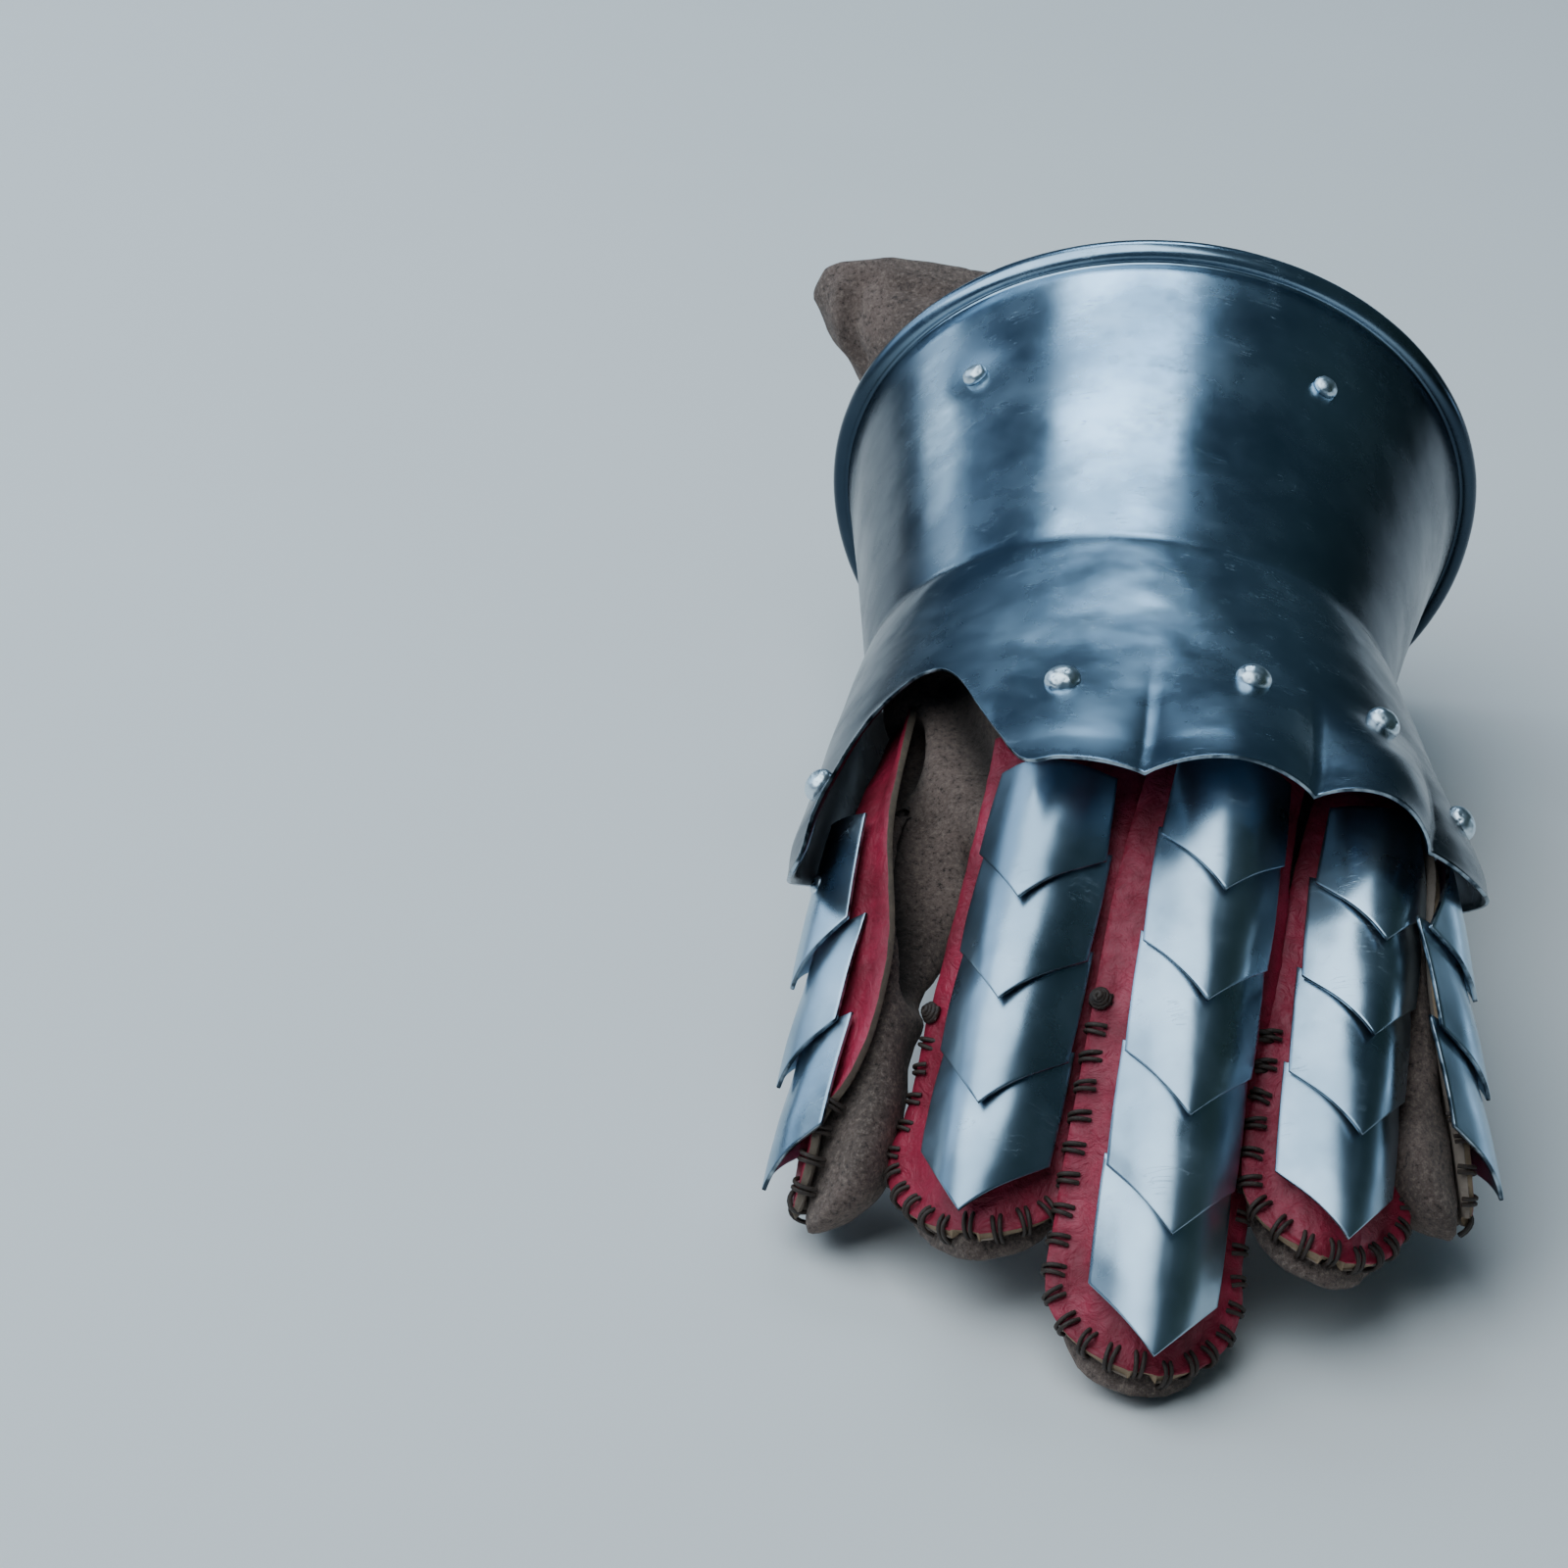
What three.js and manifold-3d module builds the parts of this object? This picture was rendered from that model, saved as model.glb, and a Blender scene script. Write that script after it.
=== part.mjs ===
// Armoured gauntlet for the left hand, lying palm down on its cuff rim and fingertips.
// Millimetres, +Z up, fingers towards -Y, cuff towards +Y, thumb towards -X.
// The steel hourglass plate is drawn on stations along the arm: s = 0 is the waist, s > 0 runs
// towards the knuckles and s < 0 towards the cuff rim. Angles go round the arm from the crest.
import * as THREE from 'three';
import { mergeVertices } from 'three/addons/utils/BufferGeometryUtils.js';
import Module from 'manifold-3d';

const wasm = await Module();
wasm.setup();

// ---- walls and clearances ----
const PLATE_WALL = 1.5;
const LAME_WALL = 0.9;
const STRIP_WALL = 1.8;
const SUEDE_WALL = 1.8;
const GAP = 0.35;

// ---- hourglass plate ----
const CUFF_LENGTH = 92;
const HAND_LENGTH = 82;
const CUFF_CURVE = 1.15;
const CUFF_PALM_CURVE = 1.7;
const HAND_CURVE = 0.9;
const ROLL_RADIUS = 2.6;
const ROLL_OUTSET = 0.7;
const CUFF_WRAP = 1.03;
const SECTIONS = {
  rim: { x: -0.8, z: 56.5, halfWidth: 70.4, rise: 60.4, drop: 68.4, lean: -0.12 },
  waist: { x: -6, z: 51.5, halfWidth: 55.5, rise: 43, drop: 43, lean: -0.35 },
  knuckles: { x: -3.8, z: 51.5, halfWidth: 67, rise: 36, drop: 36, lean: -0.35 },
};
// Knuckle ridges start at RIDGE_START and are full by RIDGE_FULL.
const RIDGE_START = 42;
const RIDGE_FULL = 80;
const RIDGES = [
  { finger: 'index', from: -26, to: -0.8, height: 2.2 },
  { finger: 'middle', from: -0.8, to: 27.5, height: 4.5 },
  { finger: 'ring', from: 27.5, to: 53, height: 5.2 },
  { finger: 'little', from: 53, to: 88, height: 1.2 },
];
// Lower edge of the plate: angle round the hand, reach from the waist, and how far that
// meridian swings round before it reaches the waist.
const EDGE_SWING_FROM = 91;
const EDGE_SWING_TO = 44;
const EDGE = [
  { part: 'wing', angle: -118, reach: 60, swing: -17 },
  { part: 'wing', angle: -108, reach: 74, swing: -11 },
  { part: 'wing', angle: -98, reach: 85, swing: -5 },
  { part: 'wing', angle: -88, reach: 92.5, swing: 0 },
  { part: 'wing', angle: -80, reach: 95.5, swing: 0 },
  { part: 'wing', angle: -75.5, reach: 95, swing: 0 },
  { part: 'arch', angle: -72.5, reach: 91, swing: 0 },
  { part: 'arch', angle: -70, reach: 79, swing: 0 },
  { part: 'arch', angle: -66.5, reach: 69.5, swing: 0 },
  { part: 'arch', angle: -63, reach: 62, swing: 0 },
  { part: 'arch', angle: -57.5, reach: 54, swing: 0 },
  { part: 'arch', angle: -51.5, reach: 48.5, swing: 0 },
  { part: 'arch', angle: -44, reach: 44.5, swing: 0 },
  { part: 'arch', angle: -38.5, reach: 46, swing: 0 },
  { part: 'arch', angle: -34.5, reach: 52, swing: 0 },
  { part: 'arch', angle: -30, reach: 63.5, swing: 0 },
  { part: 'arch', angle: -25.5, reach: 75, swing: 0 },
  { part: 'index', angle: -21, reach: 88, swing: 0.5 },
  { part: 'index', angle: -14, reach: 90, swing: 1.5 },
  { part: 'index', angle: -7, reach: 91, swing: 2 },
  { part: 'groove', angle: -0.8, reach: 92, swing: 3 },
  { part: 'middle', angle: 5, reach: 91, swing: 3.5 },
  { part: 'middle', angle: 13, reach: 90, swing: 4 },
  { part: 'middle', angle: 21, reach: 90, swing: 4.5 },
  { part: 'groove', angle: 27.5, reach: 90.5, swing: 5 },
  { part: 'ring', angle: 34, reach: 90, swing: 6 },
  { part: 'ring', angle: 40.5, reach: 90.5, swing: 7 },
  { part: 'ring', angle: 47, reach: 91.8, swing: 8 },
  { part: 'groove', angle: 53, reach: 93.5, swing: 9 },
  { part: 'little', angle: 59, reach: 94, swing: 11 },
  { part: 'little', angle: 66, reach: 94, swing: 13 },
  { part: 'little', angle: 76, reach: 91.5, swing: 14 },
  { part: 'little', angle: 86, reach: 83.5, swing: 15 },
  { part: 'palm', angle: 97, reach: 74, swing: 16 },
  { part: 'palm', angle: 108, reach: 66, swing: 17 },
  { part: 'palm', angle: 118, reach: 54, swing: 17 },
];
// Rows of the plate: share of the reach on the hand, share of the length on the cuff.
const HAND_ROWS = [1, 0.93, 0.84, 0.74, 0.62, 0.48, 0.3, 0.14, 0.04];
const CUFF_ROWS = [0, 0.06, 0.25, 0.5, 0.75, 0.93];
const ROLL_TURNS = [40, 85, 130, 175, 220];

// ---- fingers: "at" is the point of the first lame, angles in degrees ----
const FINGERS = [
  { name: 'index', lames: 4, at: [-26.6, -115, 65.4], yaw: -9, bend: [38, 45.5], roll: -13, pitch: 20.2 },
  { name: 'middle', lames: 5, at: [11.6, -117, 71.2], yaw: -7.5, bend: [34.5, 48], roll: 16, pitch: 22.1 },
  { name: 'ring', lames: 4, at: [42.5, -113.5, 61], yaw: -6.5, bend: [30, 39.5], roll: 24, pitch: 19.8 },
  { name: 'little', lames: 3, at: [61.4, -107.5, 45.4], yaw: 12, bend: [43, 42], roll: 78, pitch: 19.2 },
  { name: 'thumb', lames: 3, at: [-68.8, -103, 34.3], yaw: -3.5, bend: [34, 41.5], roll: -77, pitch: 20.2 },
];
// Half widths to the left and right of the middle line, looking along the finger from the tip.
const WIDTHS = {
  index: {
    lame: [12.8, 12.8],
    strip: [17.4, 16],
    stripTip: [22, 16.5],
    suede: [16.6, 15.2],
    suedeTip: [21.4, 15.9],
  },
  middle: {
    lame: [12.2, 12.2],
    strip: [16.4, 14.6],
    stripTip: [17.6, 17],
    suede: [15.6, 13.8],
    suedeTip: [17, 16.4],
  },
  ring: {
    lame: [12.4, 10.9],
    strip: [14.4, 13.2],
    stripTip: [15.8, 17.3],
    suede: [13.6, 12.4],
    suedeTip: [15.2, 16.7],
  },
  little: {
    lame: [12, 12.4],
    strip: [7, 15],
    stripTip: [3.5, 15.4],
    suede: [6.2, 14.2],
    suedeTip: [12, 14.8],
  },
  thumb: {
    lame: [12.1, 11.3],
    strip: [15.2, 15.4],
    stripTip: [15.2, 7],
    suede: [14.4, 14.6],
    suedeTip: [14.4, 15],
  },
};
// Share of the width that is left under the plate, again left and right.
const ROOT_SHARES = {
  index: { lame: [0.9, 0.9], soft: [0.9, 0.9] },
  middle: { lame: [0.9, 0.9], soft: [0.9, 0.9] },
  ring: { lame: [0.9, 0.45], soft: [0.9, 0.45] },
  little: { lame: [0.15, 0.9], soft: [0.15, 0.9] },
  thumb: { lame: [0.8, 0.9], soft: [0.9, 0.8] },
};
const ROOT_BACK = { index: 25, middle: 25, ring: 25, little: 25, thumb: 31 };
const CROWN = 0.053;
const CROWN_STRAIGHT = 8.6;
const CHEVRON = 12.7;
const LAP_CENTRE = 9;
const LAP_SIDE = 2.5;
const FIRST_LAP = 5;
const STRIP_DEPTH = 6.35;
// How far each strip and its glove finger run on under the plate, and their shift inwards there.
const STRIP_UNDER = { index: 26, middle: 20, ring: 20, little: 20, thumb: 34 };
const UNDER_SHIFT = { index: 0, middle: 0, ring: 0, little: 0, thumb: 4 };
const UNDER_PITCH = 10;
const STRIP_REACH = 2.5;
const GLOVE_REACH = 7.7;
const TIP_ROUND = 15;
const TIP_BLUNT = 0.15;
const TIP_ARCH = 0.7;
const UNDER_ARCH = 0.5;

// ---- suede glove ----
const FINGER_FLANK = 8;
const CLEAR_HEIGHT = 12;
const CLEAR_GAP = 0.3;
const HAND_STATIONS = [
  { y: -88, x: 8, z: 54, halfWidth: 32, rise: 9, drop: 14, flap: 0 },
  { y: -74, x: 2, z: 57, halfWidth: 39, rise: 15, drop: 19, flap: 0 },
  { y: -50, x: -3, z: 60, halfWidth: 49, rise: 20, drop: 22, flap: 0 },
  { y: -8, x: -8, z: 58, halfWidth: 49, rise: 29, drop: 24, flap: 0 },
  { y: 40, x: -3, z: 57, halfWidth: 52, rise: 35, drop: 32, flap: 0 },
  { y: 82, x: 0, z: 57, halfWidth: 62, rise: 46, drop: 48, flap: 0 },
  { y: 98, x: -2, z: 57, halfWidth: 62, rise: 45, drop: 55, flap: 0.22 },
  { y: 116, x: -4, z: 58, halfWidth: 64, rise: 44, drop: 57, flap: 0.5 },
];
const FLAP_ANGLE = -54;
const FLAP_SPREAD = 16;
const THUMB_BASE = [
  { x: -22, y: -14, z: 56, radius: 17 },
  { x: -35, y: -50, z: 47.5, radius: 12.5 },
  { x: -48, y: -80, z: 40, radius: 9.5 },
  { x: -51, y: -102, z: 33, radius: 7 },
];

// ---- rivets: place on the plate, head radius and height ----
const RIVETS = [
  { name: 'rivet_knuckle_index', meridian: -15.5, s: 59, radius: 3.6, height: 2.7 },
  { name: 'rivet_knuckle_middle', meridian: 15.5, s: 52, radius: 3.6, height: 2.7 },
  { name: 'rivet_knuckle_ring', meridian: 42, s: 49, radius: 3.6, height: 2.7 },
  { name: 'rivet_knuckle_little', meridian: 66, s: 66, radius: 3.6, height: 2.7 },
  { name: 'rivet_wing', meridian: -73, s: 68, radius: 3.4, height: 2.6 },
  { name: 'rivet_cuff_thumb_side', meridian: -37.4, s: -64, radius: 2.8, height: 1.8 },
  { name: 'rivet_cuff_outer_side', meridian: 27.5, s: -64, radius: 2.8, height: 1.8 },
];
const LAME_RIVET = { name: 'rivet_thumb_lame', lame: 'lame_thumb_1', x: 2, back: 22, radius: 2, height: 1.3 };
const RIVET_LIFT = 0.6;
const SHANK_RADIUS = 1.2;
const SHANK_CLEARANCE = 0.35;
const RIVET_SIDES = 10;

const STEEL = new THREE.MeshStandardMaterial({ color: 0x9fb2c6, roughness: 0.22, metalness: 1 });
const LAME_STEEL = new THREE.MeshStandardMaterial({ color: 0xb4c6d8, roughness: 0.28, metalness: 1 });
const RIVET_STEEL = new THREE.MeshStandardMaterial({ color: 0xc9d6e2, roughness: 0.3, metalness: 1 });
const RED_LEATHER = new THREE.MeshStandardMaterial({ color: 0x9c1f3c, roughness: 0.55, metalness: 0 });
const SUEDE = new THREE.MeshStandardMaterial({ color: 0x6a5850, roughness: 0.95, metalness: 0 });

const DEGREE = Math.PI / 180;
const clamp01 = (value) => Math.min(1, Math.max(0, value));
const ease = (value) => clamp01(value) ** 2 * (3 - 2 * clamp01(value));
const along = (point, direction, distance) => point.clone().addScaledVector(direction, distance);

// ---- closed solids from grids of points ----
function closedGeometry(points, triangles) {
  let volume = 0;
  for (const [a, b, c] of triangles) {
    volume += points[a].dot(points[b].clone().cross(points[c]));
  }
  const index = triangles.flatMap(([a, b, c]) => (volume > 0 ? [a, b, c] : [a, c, b]));
  const geometry = new THREE.BufferGeometry().setFromPoints(points);
  geometry.setIndex(index);
  return geometry;
}

// A wall between an outer and an inner grid of the same rows and columns.
function wall(outer, inner) {
  const rows = outer.length;
  const columns = outer[0].length;
  const points = [...outer.flat(), ...inner.flat()];
  const at = (side, row, column) => (side * rows + row) * columns + column;
  const triangles = [];
  const quad = (a, b, c, d) => triangles.push([a, b, c], [a, c, d]);
  for (let row = 0; row + 1 < rows; row += 1) {
    for (let column = 0; column + 1 < columns; column += 1) {
      quad(at(0, row, column), at(0, row, column + 1), at(0, row + 1, column + 1), at(0, row + 1, column));
      quad(at(1, row, column), at(1, row + 1, column), at(1, row + 1, column + 1), at(1, row, column + 1));
    }
  }
  for (let column = 0; column + 1 < columns; column += 1) {
    const last = rows - 1;
    quad(at(0, 0, column), at(1, 0, column), at(1, 0, column + 1), at(0, 0, column + 1));
    quad(at(0, last, column), at(0, last, column + 1), at(1, last, column + 1), at(1, last, column));
  }
  for (let row = 0; row + 1 < rows; row += 1) {
    const last = columns - 1;
    quad(at(0, row, 0), at(0, row + 1, 0), at(1, row + 1, 0), at(1, row, 0));
    quad(at(0, row, last), at(1, row, last), at(1, row + 1, last), at(0, row + 1, last));
  }
  return closedGeometry(points, triangles);
}

// A solid through closed rings of the same count, with a fan over each end.
function loft(rings) {
  const count = rings[0].length;
  const points = rings.flat();
  const triangles = [];
  for (let ring = 0; ring + 1 < rings.length; ring += 1) {
    for (let k = 0; k < count; k += 1) {
      const next = (k + 1) % count;
      const a = ring * count + k;
      const b = ring * count + next;
      triangles.push([a, b, b + count], [a, b + count, a + count]);
    }
  }
  for (const [ring, flip] of [[0, true], [rings.length - 1, false]]) {
    const centre = new THREE.Vector3();
    rings[ring].forEach((point) => centre.addScaledVector(point, 1 / count));
    const hub = points.push(centre) - 1;
    for (let k = 0; k < count; k += 1) {
      const a = ring * count + k;
      const b = ring * count + ((k + 1) % count);
      triangles.push(flip ? [hub, b, a] : [hub, a, b]);
    }
  }
  return closedGeometry(points, triangles);
}

function toManifold(geometry) {
  const bare = geometry.clone();
  bare.deleteAttribute('normal');
  bare.deleteAttribute('uv');
  const merged = mergeVertices(bare, 1e-4);
  const vertProperties = new Float32Array(merged.attributes.position.array);
  const triVerts = new Uint32Array(merged.index.array);
  return new wasm.Manifold(new wasm.Mesh({ numProp: 3, vertProperties, triVerts }));
}

function fromManifold(manifold) {
  const mesh = manifold.getMesh();
  const geometry = new THREE.BufferGeometry();
  geometry.setAttribute('position', new THREE.BufferAttribute(mesh.vertProperties, 3));
  geometry.setIndex(new THREE.BufferAttribute(mesh.triVerts, 1));
  return geometry;
}

const union = (geometries) => geometries.map(toManifold).reduce((whole, piece) => whole.add(piece));

// ---- hourglass plate ----
function tableValue(rows, key, value, column) {
  const next = rows.findIndex((row) => row[key] >= value);
  if (next <= 0) return (next === 0 ? rows[0] : rows[rows.length - 1])[column];
  const [low, high] = [rows[next - 1], rows[next]];
  const share = (value - low[key]) / (high[key] - low[key]);
  return low[column] + (high[column] - low[column]) * share;
}

function plateSection(s) {
  const end = s < 0 ? SECTIONS.rim : SECTIONS.knuckles;
  const section = {};
  for (const key of Object.keys(end)) {
    const cuffCurve = key === 'drop' ? CUFF_PALM_CURVE : CUFF_CURVE;
    const share = s < 0 ? (-s / CUFF_LENGTH) ** cuffCurve : clamp01(s / HAND_LENGTH) ** HAND_CURVE;
    section[key] = SECTIONS.waist[key] + (end[key] - SECTIONS.waist[key]) * share;
  }
  return section;
}

function ridgeHeight(angle, s) {
  const ridge = RIDGES.find(({ from, to }) => angle > from && angle < to);
  if (!ridge) return 0;
  const share = (angle - ridge.from) / (ridge.to - ridge.from);
  const start = ease((s - RIDGE_START) / (RIDGE_FULL - RIDGE_START));
  return ridge.height * Math.sin(Math.PI * share) ** 0.8 * start;
}

// Angle of a meridian at station s, for the meridian that meets the edge at the given angle.
function meridianAngle(edgeAngle, s) {
  const swing = tableValue(EDGE, 'angle', edgeAngle, 'swing');
  const share = clamp01((EDGE_SWING_FROM - s) / (EDGE_SWING_FROM - EDGE_SWING_TO));
  const wrap = 1 + (CUFF_WRAP - 1) * Math.max(0, -s / CUFF_LENGTH);
  return (edgeAngle + swing * share) * wrap;
}

function smoothPoint(angle, s) {
  const section = plateSection(s);
  const turn = angle * DEGREE;
  const lift = Math.cos(turn) * (Math.cos(turn) > 0 ? section.rise : section.drop);
  const x = section.x + section.halfWidth * Math.sin(turn);
  return new THREE.Vector3(x, section.lean * lift - s, section.z + lift);
}

function plateNormal(angle, s) {
  const across = smoothPoint(angle + 1, s).sub(smoothPoint(angle - 1, s));
  const lengthwise = smoothPoint(angle, s - 1).sub(smoothPoint(angle, s + 1));
  return across.cross(lengthwise).normalize();
}

// A point on the plate, "out" from its outer face, on the meridian named by its edge angle.
function platePoint(edgeAngle, s, out) {
  const angle = meridianAngle(edgeAngle, s);
  return along(smoothPoint(angle, s), plateNormal(angle, s), out + ridgeHeight(edgeAngle, s));
}

function plateGeometry() {
  const outer = [];
  const inner = [];
  for (const share of HAND_ROWS) {
    outer.push(EDGE.map(({ angle, reach }) => platePoint(angle, reach * share, 0)));
    inner.push(EDGE.map(({ angle, reach }) => platePoint(angle, reach * share, -PLATE_WALL)));
  }
  for (const share of CUFF_ROWS) {
    outer.push(EDGE.map(({ angle }) => platePoint(angle, -CUFF_LENGTH * share, 0)));
    inner.push(EDGE.map(({ angle }) => platePoint(angle, -CUFF_LENGTH * share, -PLATE_WALL)));
  }
  const firstInner = -CUFF_LENGTH * CUFF_ROWS[CUFF_ROWS.length - 1];
  ROLL_TURNS.forEach((turn, k) => {
    const s = -CUFF_LENGTH + ROLL_RADIUS * Math.cos(turn * DEGREE);
    const out = ROLL_OUTSET + ROLL_RADIUS * Math.sin(turn * DEGREE);
    const share = (k + 1) / ROLL_TURNS.length;
    const innerS = firstInner + (-CUFF_LENGTH - firstInner) * share;
    outer.push(EDGE.map(({ angle }) => platePoint(angle, s, out)));
    inner.push(EDGE.map(({ angle }) => platePoint(angle, innerS, -PLATE_WALL)));
  });
  return wall(outer, inner);
}

// ---- fingers: frames along the crown line, from under the plate to the fingertip ----
function fingerFrames(finger) {
  const { name, lames, at, yaw, bend, roll, pitch } = finger;
  const heading = new THREE.Vector3(Math.sin(yaw * DEGREE), -Math.cos(yaw * DEGREE), 0);
  const flatSide = new THREE.Vector3(Math.cos(yaw * DEGREE), Math.sin(yaw * DEGREE), 0);
  const frameAt = (point, slope) => {
    const forward = heading.clone().multiplyScalar(Math.cos(slope * DEGREE));
    forward.z = -Math.sin(slope * DEGREE);
    const flatUp = flatSide.clone().cross(forward).negate().normalize();
    const side = flatSide.clone().multiplyScalar(Math.cos(roll * DEGREE));
    side.addScaledVector(flatUp, -Math.sin(roll * DEGREE));
    const up = flatSide.clone().multiplyScalar(Math.sin(roll * DEGREE));
    up.addScaledVector(flatUp, Math.cos(roll * DEGREE));
    return { point, forward, side, up };
  };
  const tips = [];
  let point = new THREE.Vector3(...at);
  for (let k = 0; k < lames; k += 1) {
    const frame = frameAt(point, bend[0] + (bend[1] - bend[0]) * (k / (lames - 1)));
    if (k > 0) frame.point = along(tips[k - 1].point, frame.forward, pitch);
    tips.push(frame);
    point = frame.point;
  }
  const root = frameAt(along(tips[0].point, tips[0].forward, -ROOT_BACK[name]), bend[0] * 0.75);
  const under = frameAt(root.point, UNDER_PITCH);
  under.point = along(root.point, under.forward, -STRIP_UNDER[name]);
  under.point.addScaledVector(flatSide, UNDER_SHIFT[name]);
  return { under, root, tips };
}

// Height of the arched section at a distance from its middle: round on top, straight flanks.
function crownDrop(x) {
  const round = Math.min(Math.abs(x), CROWN_STRAIGHT);
  return CROWN * round ** 2 + 2 * CROWN * CROWN_STRAIGHT * (Math.abs(x) - round);
}

const crownSlope = (x) => Math.atan(2 * CROWN * Math.max(-CROWN_STRAIGHT, Math.min(CROWN_STRAIGHT, x)));
const acrossFinger = (share, halfWidths) => share * (share < 0 ? halfWidths[0] : halfWidths[1]);
const place = (frame, x, out) => along(along(frame.point, frame.side, x), frame.up, out);

// A lame is straight, and starts below the tip of the one before it.
function lameFrame(previous, frame, step) {
  const start = along(previous.point, previous.up, -step);
  const forward = frame.point.clone().sub(start).normalize();
  const up = frame.side.clone().cross(forward).negate().normalize();
  return { point: frame.point, forward, side: frame.side, up };
}

function lamePoint(frame, x, q, out) {
  const slope = crownSlope(x);
  const middle = along(along(frame.point, frame.forward, q), frame.up, out * Math.cos(slope) - crownDrop(x));
  return along(middle, frame.side, x + out * Math.sin(slope));
}

function lameGeometry(frame, widths, rootWidths, length, lapCentre, lapSide) {
  const columns = [-1, -0.75, -0.5, -0.25, 0, 0.25, 0.5, 0.75, 1];
  const low = (share) => -CHEVRON * Math.abs(share);
  const high = (share) => -length - lapCentre - (CHEVRON + lapSide - lapCentre) * Math.abs(share);
  const grid = (out) => [
    columns.map((share) => lamePoint(frame, acrossFinger(share, widths), low(share), out)),
    columns.map((share) => lamePoint(frame, acrossFinger(share, rootWidths), high(share), out)),
  ];
  return wall(grid(0), grid(-LAME_WALL));
}

// Rows of a strip or finger: a frame, its half widths, and how strongly the section is arched.
function fingerRows(finger, frames, layer, reach) {
  const body = WIDTHS[finger.name][layer];
  const tip = WIDTHS[finger.name][`${layer}Tip`];
  const { under, root, tips } = frames;
  const last = tips[tips.length - 1];
  const narrow = body.map((width, side) => width * ROOT_SHARES[finger.name].soft[side]);
  const rows = [{ frame: under, widths: narrow, arch: UNDER_ARCH, close: 1 }];
  rows.push({ frame: root, widths: narrow, arch: 1, close: 1 });
  tips.slice(0, -1).forEach((frame, k) => {
    const share = k / (tips.length - 1);
    const widths = body.map((width, side) => width + (tip[side] - width) * share);
    rows.push({ frame, widths, arch: 1, close: 1 });
  });
  for (const turn of [0, 30, 52, 70, 86]) {
    const ahead = reach - TIP_ROUND * (1 - Math.sin(turn * DEGREE));
    const close = Math.max(TIP_BLUNT, Math.cos(turn * DEGREE));
    const point = along(last.point, last.forward, ahead);
    const widths = tip.map((width) => width * close);
    rows.push({ frame: { ...last, point }, widths, arch: TIP_ARCH + (1 - TIP_ARCH) * close * 0.5, close });
  }
  return rows;
}

// A point on the arched section, "out" along its own normal.
function archPoint({ frame, arch }, x, out) {
  const slope = Math.atan(Math.tan(crownSlope(x)) * arch);
  return place(frame, x + out * Math.sin(slope), out * Math.cos(slope) - STRIP_DEPTH - crownDrop(x) * arch);
}

function stripGeometry(finger, frames) {
  const columns = [-1, -0.72, -0.36, 0, 0.36, 0.72, 1];
  const rows = fingerRows(finger, frames, 'strip', STRIP_REACH);
  const grid = (out) => rows.map((row) => {
    return columns.map((share) => archPoint(row, acrossFinger(share, row.widths), out));
  });
  return wall(grid(0), grid(-STRIP_WALL));
}

// ---- suede glove: hand, fingers and cuff, hollow and open at the cuff ----
function fingerSolid(finger, frames, inset) {
  const across = [-1, -0.7, -0.35, 0, 0.35, 0.7, 1];
  const rings = fingerRows(finger, frames, 'suede', GLOVE_REACH).map((row) => {
    const widths = row.widths.map((width) => Math.max(width - inset * row.close, 1));
    const depth = STRIP_WALL + GAP + inset;
    const back = across.map((share) => archPoint(row, acrossFinger(share, widths), -depth));
    const flank = FINGER_FLANK * row.close - inset;
    const palm = [0.85, 0.4, -0.4, -0.85].map((share) => {
      const corner = archPoint(row, acrossFinger(Math.sign(share), widths), -depth);
      const x = acrossFinger(share, widths) - acrossFinger(Math.sign(share), widths);
      return along(along(corner, row.frame.side, x), row.frame.up, -flank * Math.sqrt(1 - share ** 2));
    });
    return [...back, ...palm];
  });
  if (inset > 0) rings.pop();
  return loft(rings);
}

// The room of a strip and its lames, which the rest of the glove keeps out of.
function clearSolid(finger, frames, inset) {
  const rows = fingerRows(finger, frames, 'strip', STRIP_REACH + CLEAR_GAP + inset);
  const { under } = frames;
  rows[1].widths = rows[2].widths;
  rows[0] = { ...rows[0], frame: { ...under, point: along(under.point, under.forward, -CLEAR_GAP - inset) } };
  const grid = (out) => rows.map((row) => [-1, -0.7, -0.35, 0, 0.35, 0.7, 1].map((share) => {
    return archPoint(row, acrossFinger(share, row.widths.map((width) => width + CLEAR_GAP + inset)), out);
  }));
  return wall(grid(CLEAR_HEIGHT + inset), grid(-STRIP_WALL - CLEAR_GAP - inset));
}

function handSolid(inset) {
  const turns = Array.from({ length: 20 }, (unused, k) => k * 18);
  const ring = ({ y, x, z, halfWidth, rise, drop, flap }, shift) => turns.map((turn) => {
    const angle = ((turn + 180) % 360) - 180;
    const bulge = 1 + flap * Math.exp(-(((angle - FLAP_ANGLE) / FLAP_SPREAD) ** 2));
    const lift = Math.cos(angle * DEGREE);
    const height = (lift > 0 ? rise : drop) - inset;
    const pointX = x + (halfWidth - inset) * bulge * Math.sin(angle * DEGREE);
    return new THREE.Vector3(pointX, y + shift, z + height * bulge * lift);
  });
  const rings = HAND_STATIONS.map((station) => ring(station, 0));
  if (inset > 0) {
    rings[0] = ring(HAND_STATIONS[0], inset);
    rings.push(ring(HAND_STATIONS[HAND_STATIONS.length - 1], 5));
  }
  return loft(rings);
}

function thumbBaseSolid(inset) {
  const heading = new THREE.Vector3(-0.4, -0.87, -0.28).normalize();
  const side = new THREE.Vector3(0.87, -0.4, 0).normalize();
  const up = side.clone().cross(heading);
  const turns = Array.from({ length: 12 }, (unused, k) => k * 30 * DEGREE);
  const rings = THUMB_BASE.map(({ x, y, z, radius }) => turns.map((turn) => {
    const middle = along(new THREE.Vector3(x, y, z), side, (radius - inset) * Math.cos(turn));
    return along(middle, up, (radius - inset) * Math.sin(turn));
  }));
  return loft(rings);
}

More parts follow.
